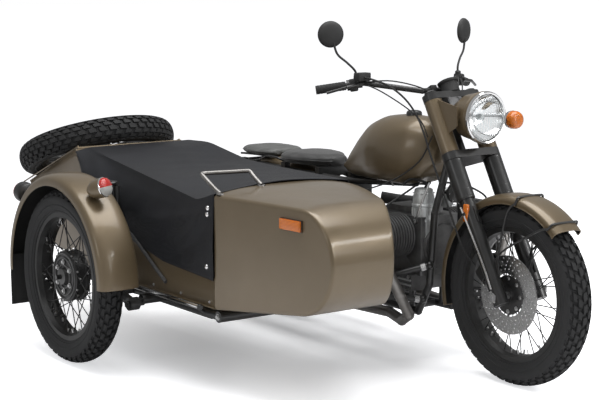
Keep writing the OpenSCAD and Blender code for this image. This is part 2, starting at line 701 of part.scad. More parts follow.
module foot_controls() color(black) both_sides() {
    bar([78, 760, cradle_z + 6], [rail_x + 60, 760, cradle_z + 40], 22);
    bar([rail_x + 58, 760, cradle_z + 39], [rail_x + 196, 760, cradle_z + 44], 30);
    bar([rail_x + 24, 718, cradle_z + 60], [rail_x + 34, 590, cradle_z + 74], 12);
    bar([rail_x + 32, 592, cradle_z + 74], [rail_x + 120, 582, cradle_z + 76], 18);
    bar([rail_x + 24, 716, cradle_z + 60], [rail_x + 40, 752, cradle_z + 34], 12);
}

module horn() color(black) translate([0, engine_front - 66, 680]) {
    rotate([90, 0, 0]) cylinder(d = 76, h = 22);
    rotate([90, 0, 0]) translate([0, 0, -30]) cylinder(d = 34, h = 32);
    translate([0, 20, 0]) axle(12, 61.6);
}

// ---- sidecar ----

rail_out = body_out - 42;
rail_in = body_in - 28;
chassis_z = 284;
chassis_d = 38;
chassis_front = 540;
chassis_back = 1720;
arm_pivot_y = side_y - 300;
arm_line = track - 103;
arm_z = hub_z - 74;
tower_x = body_out + 32;
tower_y = side_y - 96;
function stay_z(y) = hub_z + sqrt(pow(fender_r - 30, 2) - pow(y - side_y, 2));
tower_top = stay_z(tower_y) - 9.2;
shock_foot = [-arm_line + 4, side_y - 64, hub_z + 20];
shock_head = [-tower_x - 30, tower_y + 60, 640];
pad_y = [chassis_front + 60, chassis_back - 20];

module sidecar_frame() color(black) {
    z = chassis_z;
    for (x = [-rail_out, -rail_in]) bar([x, chassis_front, z], [x, chassis_back, z], chassis_d);
    for (y = [chassis_front, chassis_back]) bar([-rail_out - 19, y, z], [-rail_in + 19, y, z], chassis_d + 4);
    bar([-arm_line + 36, arm_pivot_y, z], [-rail_in, arm_pivot_y, z], chassis_d + 2);
    bar([-arm_line + 48, arm_pivot_y, z], [-arm_line + 40, arm_pivot_y, arm_z + 6], 30);
    translate([-arm_line + 8, arm_pivot_y, arm_z]) axle(24, 76);
    bar([-tower_x, tower_y, z], [-rail_in, tower_y, z], chassis_d + 2);
    bent([[-tower_x + 24, tower_y, z], [-tower_x, tower_y, z + 40], [-tower_x, tower_y, tower_top]], 26);
    bar([-tower_x, tower_y, shock_head[2]], shock_head, 22);
    for (s = [-1, 1], y = pad_y) {
        translate([body_mid + s*pad_x, y, z - 4]) cylinder(d = 44, h = body_low - z + 4 - seat);
        bar([body_mid + s*pad_x, y, z], [s < 0 ? -rail_out : -rail_in, y, z], 28);
    }
}

pad_x = (body_out - body_in)/2 - 78;

module clevis(p, d, turn = 90) {
    translate(p) rotate([0, turn, 0]) sphere(d = d, $fn = 32);
}

module sidecar_struts() color(black) {
    ends = [[[-rail_in + 22, 560, chassis_z + 4], [-98, 428, 262]],
        [[-rail_in + 22, 620, chassis_z + 20], [-90, 400, 400]],
        [[-rail_in + 22, 940, chassis_z + 22], [-74, 1000, 232]],
        [[-rail_in + 22, 1560, chassis_z + 22], [-116, 1440, 668]]];
    for (i = [0 : 3]) {
        e = ends[i];
        turn = i < 3 ? 90 : 0;
        bar(e[0], e[1], 24);
        clevis(e[0], 34, turn);
        clevis(e[1], 32, turn);
    }
}

module sidecar_swingarm() color(black) {
    x = -arm_line;
    difference() {
        union() {
            bar([x, arm_pivot_y, arm_z], [x, side_y, hub_z], 38);
            translate([x, side_y, hub_z]) axle(56, 36);
            translate([x, arm_pivot_y, arm_z]) axle(50, 40);
        }
        translate([x, arm_pivot_y, arm_z]) axle(24 + 2*run, 80);
    }
    translate([side_x, side_y, hub_z]) axle(axle_d, 200, 30);
}

module sidecar_shock() color(black) {
    low = shock_foot;
    top = shock_head;
    u = (top - low)/norm(top - low);
    bar(low + 8*u, top, 16);
    bar(low + 14*u, low + 90*u, 38);
    for (i = [0 : 7]) bar(low + (30 + i*26)*u, low + (42 + i*26)*u, 50);
    translate(low) axle(30, 26);
    translate(top) axle(34, 26);
}

// Side view of the body from the cockpit's front to the trunk's back, w inside the outer skin
function body_side(w) = [[nose_y + w, body_low + w], [1700, body_low + w + 8], [2060, body_low + 60 + w],
    [tail_y - w, body_low + 190 + w/2], [tail_y - w, tail_z], [trunk_y, trunk_z], [1640, trunk_z],
    [1500, rim_z + 10], [1200, rim_z], [nose_y + w, rim_z]];

// View from above, w inside the outer skin
function body_plan(w) = [[-body_out + w, nose_y - 300], [-body_out + w, 1320], [-905 + w, tail_y - 60],
    [-860, tail_y - w], [-520, tail_y - w], [-480 - w, tail_y - 60], [-body_in - w, 1320],
    [-body_in - w, nose_y - 300]];

module body_block(w, extra = 0) intersection() {
    translate([0, 0, extra]) side_plate(body_side(w), -body_out - 10, -body_in + 10);
    translate([0, 0, 200]) linear_extrude(800) polygon(body_plan(w));
}

// The outer wall is cut low beside the seat, so that a passenger can step in
cut_line = [[nose_y - 1, 432], [880, 452], [1265, 530], [1530, 674], [1640, 766], [1640, 900], [nose_y - 1, 900]];

module sidecar_body() color(paint) {
    hinge_ears();
    tub();
}

module tub() difference() {
    body_block(0);
    difference() {
        body_block(body_wall, body_wall);
        translate([-1100, 1640, 200]) cube([800, 25, 700]);
    }
    intersection() {
        body_block(body_wall + 0, 0);
        translate([-1100, 0, body_low + body_wall]) cube([900, 1640, 600]);
    }
    intersection() {
        body_block(body_wall, 0);
        translate([-1100, 1665, body_low + 30]) cube([900, 800, 600]);
    }
    side_plate(cut_line, -body_out - 20, -body_out + 80);
}

// The nose's outer side tapers; where it stands at a given y
nose_taper = 4.4;
function nose_x(y) = -body_out + (nose_y - y)*tan(nose_taper);

// Plan and side outlines of the rounded nose, w inside its skin
function nose_plan(w) = [[-body_out + w, nose_y + 2], [-body_out + w, nose_y],
    [nose_x(nose_cy - nose_r - 40) + w, nose_cy - nose_r - 40],
    [-700 - w, nose_cy - nose_r - 40], [-body_in - w, nose_y - 20], [-body_in - w, nose_y + 2]];
function nose_side(w) = concat([[nose_y + 2, rim_z + 26 - w], [nose_cy, nose_cz + nose_r - w]],
    arc(nose_cy, nose_cz, nose_r - w, 90, 264, 20), [[nose_y + 2, body_low + w - 4]]);
crown = 32;
crown_r = (pow((body_out - body_in)/2, 2) + pow(crown, 2))/(2*crown);

module nose_block(w) intersection() {
    side_plate(nose_side(w), -body_out - 10, -body_in + 10);
    linear_extrude(1000) polygon(nose_plan(w));
    translate([body_mid, nose_y + 2, rim_z + crown - crown_r]) rotate([90, 0, 0])
        cylinder(r = crown_r - w, h = 800, $fn = 200);
}

module nose_place() translate([0, -2.6, 0]) children();

module nose_cowl() color(paint) nose_place() difference() {
    nose_block(0);
    nose_block(body_wall);
    translate([-body_out + 20, nose_y - 1, body_low - 60]) cube([body_out - body_in - 40, 10, 60]);
}

// Fabric cover: a ridge behind the seat, sloping to the nose and draped over the outer wall.
// w is inside its outer face, past lengthens both ends and drop lowers its hems
ridge_z = trunk_z + 8;
cover_out = -body_out - cover_t - 2*soft;
cover_in = -body_in + cover_t + soft;
hem = [[880, 440], [1265, 520], [1500, 660], [1600, 748]];
function cover_points(w, past) = [
    for (x = [-905 + w, -420 - w], y = [1638 + past, 1540]) [x, y, ridge_z - w],
    for (p = [[1560, rim_z + 26], [1215, rim_z + 16], [nose_y + 2 - past, rim_z + cover_t + 1]])
        [cover_in - w, p[0], p[1] - w],
    [body_mid, nose_y + 2 - past, rim_z + 34 - w],
    [cover_out + w, nose_y + 2 - past, rim_z - 1 - w]];
module cover_solid(w, past, drop) hull() {
    for (p = concat(cover_points(w, past), [for (p = concat([[nose_y + 2 - past, 418]], hem))
        [cover_out + w, p[0], p[1] - drop]], [[cover_in - w, nose_y + 2 - past, rim_z - 34 - drop],
        [cover_in - w, 1638 + past, rim_z - 20 - drop]]))
        translate(p) cube(1, center = true);
}

module tonneau_cover() color(fabric) difference() {
    cover_solid(0, 0, 0);
    cover_solid(cover_t, 2, 60);
}

rail_d = 16;
module grab_rail() color(steel) difference() {
    bent([[-984, 506, rim_z + 3], [-992, 628, rim_z + 68], [-812, 574, rim_z + 70], [-806, 506, rim_z + 19]], rail_d);
    nose_place() nose_block(-seat);
}

marker_at = [34, 660];
marker_size = [12, 118, 44];
module side_marker() color([0.86, 0.34, 0.05])
    translate([nose_x(marker_at[0]) - seat, marker_at[0], marker_at[1]]) rotate([0, 0, nose_taper])
        translate([-marker_size[0], 0, 0]) cube(marker_size);

module step_bar() color(steel) {
    x = -body_out - 26;
    bar([x, 580, 322], [x, 1070, 322], 24);
    for (y = [640, 1000]) bar([x, y, 320], [-rail_out - 8, y, chassis_z], 14);
}

module sidecar_fender() color(paint) {
    translate([side_x, side_y, hub_z]) {
        arch(fender_r, fender_w, 42, 1, 184, sheet);
    }
    stay_y = [tower_y, side_y + 120];
    for (y = stay_y) bar([-tower_x, y, stay_z(y)], [-track + fender_w/2 - 2, y, stay_z(y)], 14);
    bar([-tower_x, stay_y[0] - 10, stay_z(stay_y[0])], [-tower_x, stay_y[1], stay_z(stay_y[1])], 17);
}

lamp_y = side_y - 246;
module sidecar_lamps() color([0.8, 0.2, 0.15]) difference() {
    union() {
        translate([side_x - 18, lamp_y, 716]) rotate([60, 0, 12]) {
            cylinder(d = 76, h = 40);
            translate([0, 0, 39]) cylinder(d1 = 74, d2 = 44, h = 22);
            translate([0, 0, -36]) cylinder(d1 = 40, d2 = 76, h = 37);
        }
        translate([side_x - 18, lamp_y + 4, 716]) rotate([150, 0, 0]) cylinder(d = 34, h = 60);
        translate([side_x - 30, side_y + 330, 640]) rotate([-90, 0, 0]) {
            cylinder(d = 84, h = 44);
            translate([0, 0, -60]) cylinder(d = 30, h = 61);
        }
    }
    translate([side_x, side_y, hub_z]) axle(2*(fender_r + seat), 300);
}

module mud_flap() color(rubber) translate([side_x - fender_w/2 + 7, side_y + fender_r - 22.8, 172])
    cube([fender_w - 14, 5, 208]);

// ---- trunk lid and spare wheel ----

pin_d = 8;
hinge_y = tail_y + 14;
hinge_z = tail_z + 4;
hinges = [-800, -590];
module on_lid() translate(lid_mid) rotate([-lid_slope, 0, 0]) children();

module trunk_lid() color(paint) {
    difference() {
        union() {
            intersection() {
                translate([0, trunk_y, trunk_z + lid_gap]) rotate([-lid_slope, 0, 0])
                    translate([-1100, 0, 0]) cube([900, (tail_y - trunk_y)/cos(lid_slope) + 20, lid_t]);
                translate([0, 0, 400]) linear_extrude(600) polygon([[-946, trunk_y], [-905 - 4, tail_y - 60],
                    [-860, tail_y + 4], [-520, tail_y + 4], [-476, tail_y - 60], [-440, trunk_y]]);
            }
            for (x = hinges) {
                translate([x, hinge_y, hinge_z]) axle(18, 40);
                translate([x - 20, hinge_y - 24, hinge_z - 1]) cube([40, 24, 8]);
            }
        }
        for (x = hinges) translate([x, hinge_y, hinge_z]) axle(pin_d + 2*run, 60);
        on_lid() translate([0, 0, -40]) cylinder(d = 16 + 2*seat, h = 80);
    }
}

// The body's half of the two trunk hinges: ears on the tail and their pins
module hinge_ears() {
    for (x = hinges) {
        translate([x, hinge_y, hinge_z]) axle(pin_d, 56);
        for (s = [-1, 1]) {
            translate([x + s*24.5, hinge_y, hinge_z]) axle(18, 8);
            translate([x + s*24.5 - 4, tail_y - 2, tail_z - 26]) cube([8, 18, 22]);
        }
    }
}

module spare_carrier() color(black) on_lid() {
    translate([0, 0, seat]) cylinder(d = 74, h = spare_lift - 38 - 2*seat);
    translate([0, 0, -22]) cylinder(d = 16, h = spare_lift + 76);
    translate([0, 0, spare_lift + 38 + seat]) cylinder(d = 74, h = 14);
    translate([0, 0, spare_lift + 51]) cylinder(d = 34, h = 18, $fn = 6);
    translate([0, 0, -lid_t - 14]) cylinder(d = 60, h = 8);
}

module spare_tyre() color(rubber) translate(spare_mid) rotate([-lid_slope, 0, 0]) rotate([0, 90, 0]) tyre();

module spare_wheel() color(black) translate(spare_mid) rotate([-lid_slope, 0, 0]) rotate([0, 90, 0]) {
    laced_rim(60, 20);
    about_x([[8 + seat, -38], [40, -38], [42, -28], [60, -26], [60, 26], [42, 28], [40, 38], [8 + seat, 38]]);
}

module placed() translate([-(x_min + x_max)/2, -(y_min + y_max)/2, 0]) children();

placed() main_frame();
placed() engine_block();
placed() engine_cover();
placed() cylinders();
placed() carburettors();
placed() exhausts();
placed() final_drive();
placed() rear_swingarm();
placed() rear_shocks();
placed() rear_fender();
placed() tail_light();
placed() fuel_tank();
placed() driver_seat();
placed() pillion_seat();
placed() side_boxes();
placed() foot_controls();
placed() horn();
placed() sidecar_frame();
placed() sidecar_struts();
placed() sidecar_body();
placed() nose_cowl();
placed() tonneau_cover();
placed() grab_rail();
placed() side_marker();
placed() step_bar();
placed() sidecar_fender();
placed() sidecar_lamps();
placed() mud_flap();
placed() sidecar_swingarm();
placed() sidecar_shock();
placed() trunk_lid();
placed() spare_carrier();
placed() spare_tyre();
placed() spare_wheel();
placed() fork_legs();
placed() fork_clamps();
placed() headlight_ears();
placed() headlight_bucket();
placed() headlight_lens();
placed() instrument();
placed() handlebar();
placed() grips();
placed() hand_controls();
placed() mirrors();
placed() turn_signal();
placed() front_fender();
placed() front_axle();
placed() brake_caliper();
placed() brake_hose();
placed() front_tyre();
placed() front_rim();
placed() front_hub_disc();
placed() rear_tyre();
placed() rear_rim();
placed() rear_hub();
placed() sidecar_tyre();
placed() sidecar_rim();
placed() sidecar_hub();
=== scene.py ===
"""Looks of the sidecar motorcycle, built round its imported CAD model."""
import math
import random
import bmesh
import bpy
import numpy as np
from mathutils import Matrix, Vector


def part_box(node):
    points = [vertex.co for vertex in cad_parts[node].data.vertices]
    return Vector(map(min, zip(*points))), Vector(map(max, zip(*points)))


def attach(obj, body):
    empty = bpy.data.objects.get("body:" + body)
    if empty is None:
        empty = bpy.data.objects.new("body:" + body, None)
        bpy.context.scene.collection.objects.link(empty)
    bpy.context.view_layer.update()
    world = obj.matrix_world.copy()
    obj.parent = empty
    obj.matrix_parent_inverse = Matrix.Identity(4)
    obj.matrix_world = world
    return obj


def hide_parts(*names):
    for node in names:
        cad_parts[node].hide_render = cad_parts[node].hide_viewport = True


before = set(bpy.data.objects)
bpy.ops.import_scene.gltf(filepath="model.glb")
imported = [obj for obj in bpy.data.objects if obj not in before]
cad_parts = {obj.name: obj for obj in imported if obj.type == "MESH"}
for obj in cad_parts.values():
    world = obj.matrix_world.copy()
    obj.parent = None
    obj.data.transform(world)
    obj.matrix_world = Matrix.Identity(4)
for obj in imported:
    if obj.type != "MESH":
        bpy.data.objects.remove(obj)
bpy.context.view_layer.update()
random.seed(7)

# ---- the frame's own places; millimetres from the front wheel's contact point ----
front_low, front_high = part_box("front_tyre")
ORIGIN = Vector(((front_low.x + front_high.x) / 2, (front_low.y + front_high.y) / 2, 0))
MM = 0.001
TYRE_R = (front_high.z - front_low.z) / 2 / MM
TYRE_W = (front_high.x - front_low.x) / MM
DISC_R = 147.5


def at(x, y, z):
    """A point from millimetres: x from the motorcycle's middle, y behind the front axle, z above ground."""
    return Vector((ORIGIN.x + x * MM, ORIGIN.y + y * MM, z * MM))


def cosd(a):
    return math.cos(math.radians(a))


def sind(a):
    return math.sin(math.radians(a))


def polar(r, a, h):
    """A point at radius r, angle a in radians and height h."""
    return Vector((r * math.cos(a), r * math.sin(a), h))


def turns(n):
    """The angles of n even steps round a circle."""
    return [2 * math.pi * k / n for k in range(n)]


def middle(node):
    low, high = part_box(node)
    c = (low + high) / 2 - ORIGIN
    return c.x / MM, c.y / MM, c.z / MM


SIDE_X, SIDE_Y, HUB_Z = middle("sidecar_tyre")
REAR_Y = middle("rear_tyre")[1]
RAKE = math.radians(29)
LID_SLOPE = math.radians(20.5)
RAIL_Z = 284
LEG_X = 98
CYLINDER_Y, CYLINDER_Z = 545, 504
UP = Vector((0, math.sin(RAKE), math.cos(RAKE)))
BACK = Vector((0, math.cos(RAKE), -math.sin(RAKE)))


def on_leg(s, x=0.0, off=0.0):
    """A point s along the fork leg from the axle, x to the side and off behind it, in millimetres."""
    p = Vector((x, 0, HUB_Z)) + s * UP + off * BACK
    return p.x, p.y, p.z


# ---- materials ----
def fill(tree, node, **inputs):
    """Sets inputs to values or links them to outputs; an underscore stands for a space in a name."""
    for name, value in inputs.items():
        socket = node.inputs[name.replace("_", " ")]
        if isinstance(value, bpy.types.NodeSocket):
            tree.links.new(value, socket)
        else:
            socket.default_value = value


def add_node(tree, kind, operation=None, **inputs):
    node = tree.nodes.new("ShaderNode" + kind)
    if operation:
        node.operation = operation
    fill(tree, node, **inputs)
    return node


def two_in(tree, kind, operation, first, second):
    """The result of a node that joins two sources."""
    node = add_node(tree, kind, operation)
    tree.links.new(first, node.inputs[0])
    tree.links.new(second, node.inputs[1])
    return node.outputs[0]


def object_coords(tree):
    return add_node(tree, "TexCoord").outputs["Object"]


def node_material(name):
    m = bpy.data.materials.new(name)
    m.use_nodes = True
    tree = m.node_tree
    return m, tree, tree.nodes["Principled BSDF"]


def noise(tree, scale, detail=4.0, stretch=None):
    source = object_coords(tree)
    if stretch:
        source = add_node(tree, "Mapping", Vector=source, Scale=stretch).outputs["Vector"]
    return add_node(tree, "TexNoise", Vector=source, Scale=scale, Detail=detail,
        Roughness=0.6).outputs["Fac"]


def waves(tree, axis, scale, distortion=0.0):
    node = add_node(tree, "TexWave", Vector=object_coords(tree), Scale=scale, Distortion=distortion)
    node.bands_direction = axis
    return node.outputs["Fac"]


def grey(v):
    return (v, v, v)


def ramp(tree, source, low, high, start=0.3, end=0.7):
    """A colour that goes from low to high as source goes from start to end."""
    node = add_node(tree, "ValToRGB", Fac=source)
    for element, position, colour in zip(node.color_ramp.elements, (start, end), (low, high)):
        element.position = position
        element.color = (*colour, 1)
    return node.outputs["Color"]


def bumped(tree, source, strength, distance):
    return add_node(tree, "Bump", Height=source, Strength=strength, Distance=distance).outputs["Normal"]


def surface(name, low, high, scale, rough, metallic=0.0, coat=0.0, bump=0.0, depth=0.0005,
            bump_scale=None, sheen=0.0, stretch=None):
    """A material whose colour, roughness and bump vary with noise."""
    m, tree, s = node_material(name)
    cloud = noise(tree, scale, stretch=stretch)
    fill(tree, s, Base_Color=ramp(tree, cloud, low, high), Roughness=ramp(tree, cloud, *map(grey, rough)),
        Metallic=metallic, Coat_Weight=coat, Coat_Roughness=0.1, Sheen_Weight=sheen)
    if bump:
        fine = noise(tree, bump_scale or scale * 6, detail=6.0, stretch=stretch)
        fill(tree, s, Normal=bumped(tree, fine, bump, depth))
    return m


def paint_material():
    """Metallic olive bronze: fine flake in the base coat, clear lacquer and a little road dust."""
    m, tree, s = node_material("olive_paint")
    base = ramp(tree, noise(tree, 3.0), (0.158, 0.118, 0.068), (0.184, 0.138, 0.082))
    flake = ramp(tree, noise(tree, 2600.0, detail=1.0), grey(0.80), grey(1.0), 0.35, 0.75)
    mix = add_node(tree, "Mix")
    mix.data_type = "RGBA"
    mix.blend_type = "MULTIPLY"
    fill(tree, mix, Factor=1.0, A=base, B=flake)
    dust = ramp(tree, noise(tree, 9.0, detail=8.0), grey(0.34), grey(0.44))
    fill(tree, s, Base_Color=mix.outputs["Result"], Roughness=dust, Metallic=0.45, Coat_Weight=0.5,
        Coat_Roughness=0.14, Normal=bumped(tree, noise(tree, 5.0), 0.05, 0.002))
    return m


def fabric_material():
    """Coated black canvas: a fine plain weave, a cloudy colour and a faint sheen."""
    m, tree, s = node_material("canvas")
    weave = two_in(tree, "Math", "MULTIPLY", waves(tree, "X", 260, 0.6), waves(tree, "Y", 260, 0.6))
    cloud = noise(tree, 4.0, detail=6.0)
    fill(tree, s, Base_Color=ramp(tree, cloud, (0.0040, 0.0045, 0.0065), (0.0085, 0.0095, 0.0130)),
        Roughness=ramp(tree, cloud, grey(0.48), grey(0.62)), Sheen_Weight=0.03, Sheen_Roughness=0.5,
        Specular_IOR_Level=0.3, Normal=bumped(tree, weave, 0.35, 0.0006))
    return m


def ribbed_material(name, low, high, bands, axis, strength, depth, **inputs):
    """Moulded lens material with ribs."""
    m, tree, s = node_material(name)
    ribs = waves(tree, axis, bands)
    fill(tree, s, Base_Color=ramp(tree, ribs, low, high), Normal=bumped(tree, ribs, strength, depth),
        **inputs)
    return m


def lens_plastic(name, low, high, bands, transmission=0.25):
    return ribbed_material(name, low, high, bands, "Z", 0.5, 0.001, Roughness=0.18,
        Transmission_Weight=transmission, Coat_Weight=0.4, Coat_Roughness=0.05)


PAINT = paint_material()
CANVAS = fabric_material()
GLASS = ribbed_material("lens_glass", (0.93, 0.96, 0.97), (1, 1, 1), 26, "X", 0.25, 0.0015, Roughness=0.03,
    Transmission_Weight=1.0, IOR=1.3)
BLACK = surface("black_enamel", grey(0.012), grey(0.020), 14, (0.30, 0.45), coat=0.25, bump=0.06,
    bump_scale=300)
# Near-black, very rough material: painted shade for the insides of the fenders and the nose shell.
SHADE_BLACK = surface("painted_shade_inside", grey(0.006), grey(0.010), 20, (0.8, 0.95), bump=0.1)
MATTE = surface("matte_black", grey(0.014), grey(0.024), 30, (0.55, 0.75), bump=0.2, bump_scale=900,
    depth=0.0003)
RUBBER = surface("soft_rubber", grey(0.012), grey(0.022), 40, (0.7, 0.85), bump=0.15, bump_scale=700)
TYRE = surface("tyre_rubber", (0.010, 0.0105, 0.011), (0.022, 0.022, 0.023), 16, (0.68, 0.88), bump=0.3,
    bump_scale=450, depth=0.0004)
RIM = surface("rim_black", grey(0.022), grey(0.040), 18, (0.35, 0.5), metallic=0.4, bump=0.05,
    bump_scale=400)
ALLOY = surface("cast_alloy", (0.33, 0.34, 0.345), (0.52, 0.53, 0.535), 22, (0.34, 0.55), metallic=0.85,
                bump=0.25, bump_scale=700, depth=0.0004)
PALE = surface("pale_alloy", (0.50, 0.52, 0.52), (0.64, 0.66, 0.66), 12, (0.32, 0.46), metallic=0.6,
               bump=0.15, bump_scale=600, depth=0.0003)
STEEL = surface("brushed_steel", grey(0.44), grey(0.62), 60, (0.22, 0.38), metallic=1.0, bump=0.05,
    stretch=(1, 12, 1))
CHROME = surface("chrome", grey(0.72), grey(0.82), 8, (0.05, 0.10), metallic=1.0)
DULL = surface("dull_engine", grey(0.10), grey(0.17), 25, (0.45, 0.62), metallic=0.7, bump=0.2,
    bump_scale=500)
EXHAUST = surface("exhaust_steel", (0.16, 0.15, 0.14), (0.30, 0.29, 0.28), 10, (0.32, 0.5), metallic=1.0)
CANVAS_GREY = surface("webbing", grey(0.035), grey(0.06), 90, (0.6, 0.75), bump=0.4, bump_scale=900)
PAD_GREY = surface("pillion_vinyl", (0.075, 0.077, 0.074), (0.11, 0.112, 0.108), 18, (0.4, 0.55), bump=0.4,
    bump_scale=520, depth=0.0006)
VINYL = surface("seat_vinyl", grey(0.018), grey(0.032), 18, (0.45, 0.6), bump=0.5, bump_scale=520,
    depth=0.0006, sheen=0.2)
AMBER = lens_plastic("amber_lens", (0.62, 0.13, 0.005), (0.90, 0.25, 0.02), 70)
RED = lens_plastic("red_lens", (0.42, 0.012, 0.010), (0.66, 0.03, 0.02), 80)
CLEAR = lens_plastic("clear_lens", (0.62, 0.62, 0.58), (0.85, 0.85, 0.82), 80, 0.5)
MIRROR = surface("mirror_glass", grey(0.80), grey(0.86), 5, (0.02, 0.03), metallic=1.0)


# ---- mesh building ----
class Kit:
    """Collects simple solids, in millimetres, into one mesh with several materials."""

    def __init__(self):
        self.verts, self.faces, self.mats, self.names = [], [], [], []

    def slot_of(self, material):
        if material not in self.names:
            self.names.append(material)
        return self.names.index(material)

    def add(self, points, faces, material):
        n = len(self.verts)
        self.verts += [tuple(p) for p in points]
        self.faces += [[n + i for i in f] for f in faces]
        self.mats += [self.slot_of(material)] * len(faces)

    def grid(self, rings, material, closed=True):
        """Rows of points joined into a skin; closed rows join end to start and get caps."""
        rows, cols = len(rings), len(rings[0])
        last = cols if closed else cols - 1
        faces = [[i * cols + j, i * cols + (j + 1) % cols, (i + 1) * cols + (j + 1) % cols, (i + 1) * cols
            + j] for i in range(rows - 1) for j in range(last)]
        if closed:
            faces += [list(range(cols))[::-1], [(rows - 1) * cols + j for j in range(cols)]]
        self.add([p for r in rings for p in r], faces, material)

    def tube(self, points, d, material, sides=12, smooth=6):
        """A round tube through points, eased between them; d is one diameter or one for each point."""
        pts = [Vector(p) for p in points]
        ds = d if isinstance(d, (list, tuple)) else [d] * len(pts)
        path, sizes = [], []
        for i in range(len(pts) - 1):
            a, b = pts[i], pts[i + 1]
            before, after = pts[max(i - 1, 0)], pts[min(i + 2, len(pts) - 1)]
            for k in range(smooth):
                t = k / smooth
                curve = (2 * before - 5 * a + 4 * b - after) * t * t
                path.append(0.5 * ((2 * a) + (b - before) * t + curve
                    + (3 * a - before - 3 * b + after) * t ** 3))
                sizes.append(ds[i] + (ds[i + 1] - ds[i]) * t)
        path.append(pts[-1])
        sizes.append(ds[-1])
        rings = []
        side = None
        for i, p in enumerate(path):
            ahead = (path[min(i + 1, len(path) - 1)] - path[max(i - 1, 0)]).normalized()
            if side is None:
                side = ahead.orthogonal().normalized()
            side = (side - side.dot(ahead) * ahead).normalized()
            other = ahead.cross(side)
            rings.append([p + sizes[i] / 2 * (math.cos(a) * side + math.sin(a) * other)
                for a in turns(sides)])
        self.grid(rings, material)

    def bar(self, points, d, material, sides=12):
        """A tube straight between its points."""
        self.tube(points, d, material, sides, 1)

    def lathe(self, section, place, material, sides=48, closed=False):
        """Turns [radius, height] points about the local Z axis of the matrix place."""
        points = [place @ polar(r, a, h) for a in turns(sides) for r, h in section]
        cols = len(section)
        last = cols if closed else cols - 1
        faces = []
        for i in range(sides):
            here, there = i * cols, (i + 1) % sides * cols
            faces += [[here + j, there + j, there + (j + 1) % cols, here + (j + 1) % cols]
                for j in range(last)]
        self.add(points, faces, material)

    def box(self, low, high, material, edge, place=Matrix.Identity(4)):
        """A block with rounded edges."""
        e = min([edge] + [(h - l) / 2.01 for l, h in zip(low, high)])
        lo, hi = Vector(low), Vector(high)
        rings = []
        for z, inset in ((lo.z, e), (lo.z + 0.3 * e, 0.3 * e), (lo.z + e, 0), (hi.z - e, 0),
                         (hi.z - 0.3 * e, 0.3 * e), (hi.z, e)):
            ring = []
            for sx, sy, start in ((1, 1, 0), (-1, 1, 90), (-1, -1, 180), (1, -1, 270)):
                cx = (hi.x if sx > 0 else lo.x) - sx * e
                cy = (hi.y if sy > 0 else lo.y) - sy * e
                r = e - inset
                ring += [place @ Vector((cx + r * cosd(a), cy + r * sind(a), z))
                    for a in (start, start + 45, start + 90)]
            rings.append(ring)
        self.grid(rings, material)

    def ball(self, centre, r, material):
        rings = [[Vector(centre) + polar(r * math.sin(a), b, r * math.cos(a)) for b in turns(20)]
            for a in (math.pi * i / 12 for i in range(1, 12))]
        self.grid(rings[::-1], material)

    def bolt(self, centre, axis, d, h, material):
        """A hexagon head with a washer."""
        place = toward(centre, axis)
        self.lathe([[0, 0], [d * 0.78, 0], [d * 0.78, h * 0.25], [0, h * 0.25]], place, material, sides=16)
        self.grid([[place @ polar(d * wide, a, h * up) for a in turns(6)] for wide,
            up in ((0.56, 0.2), (0.56, 0.85), (0.48, 1))], material)

    def make(self, name, body, replaces=(), smooth=35):
        mesh = bpy.data.meshes.new(name)
        mesh.from_pydata([at(*p) for p in self.verts], [], self.faces)
        for m in self.names:
            mesh.materials.append(m)
        mesh.polygons.foreach_set("material_index", self.mats)
        o = add_object(name, mesh)
        tidy_mesh(o, smooth)
        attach(o, body)
        if replaces:
            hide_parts(*replaces)
        return o


def add_object(name, data):
    o = bpy.data.objects.new(name, data)
    bpy.context.scene.collection.objects.link(o)
    return o


def toward(centre, axis):
    """A matrix that puts local Z along axis at centre."""
    q = Vector(axis).normalized().to_track_quat("Z", "Y")
    return Matrix.Translation(Vector(centre)) @ q.to_matrix().to_4x4()


def tidy_mesh(o, smooth, bevel=0.0):
    """Recalculates normals, bevels sharp edges and shades smooth below an angle."""
    bm = bmesh.new()
    bm.from_mesh(o.data)
    bmesh.ops.remove_doubles(bm, verts=bm.verts, dist=1e-6)
    bmesh.ops.recalc_face_normals(bm, faces=bm.faces)
    bm.to_mesh(o.data)
    bm.free()
    if bevel:
        mod = o.modifiers.new("bevel", "BEVEL")
        mod.width = bevel
        mod.segments = 2
        mod.limit_method = "ANGLE"
        mod.angle_limit = math.radians(30)
        mod.harden_normals = True
        apply_modifiers(o)
    mesh = o.data
    mesh.polygons.foreach_set("use_smooth", [True] * len(mesh.polygons))
    mesh.set_sharp_from_angle(angle=math.radians(smooth))


def apply_modifiers(o):
    graph = bpy.context.evaluated_depsgraph_get()
    done = bpy.data.meshes.new_from_object(o.evaluated_get(graph))
    o.modifiers.clear()
    o.data = done


def soften(node, body, material, width):
    """A CAD node's own shape with its sharp edges rounded by width millimetres."""
    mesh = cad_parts[node].data.copy()
    o = add_object(node + "_skin", mesh)
    bm = bmesh.new()
    bm.from_mesh(mesh)
    bmesh.ops.remove_doubles(bm, verts=bm.verts, dist=1e-5)
    bmesh.ops.dissolve_limit(bm, angle_limit=math.radians(2.0), verts=bm.verts, edges=bm.edges)
    bm.to_mesh(mesh)
    bm.free()
    mesh.materials.clear()
    mesh.materials.append(material)
    tidy_mesh(o, 35, width * MM)
    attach(o, body)
    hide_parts(node)
    return o


def finish_nodes(pairs):
    """Gives CAD nodes their materials."""
    for material, names in pairs:
        for n in names.split():
            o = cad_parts[n]
            o.data.materials.clear()
            o.data.materials.append(material)
            o.data.polygons.foreach_set("use_smooth", [True] * len(o.data.polygons))
            o.data.set_sharp_from_angle(angle=math.radians(32))


def spaced(low, high, n):
    return [low + (high - low) * i / n for i in range(n + 1)]


def ease(t):
    t = min(max(t, 0.0), 1.0)
    return t * t * (3 - 2 * t)


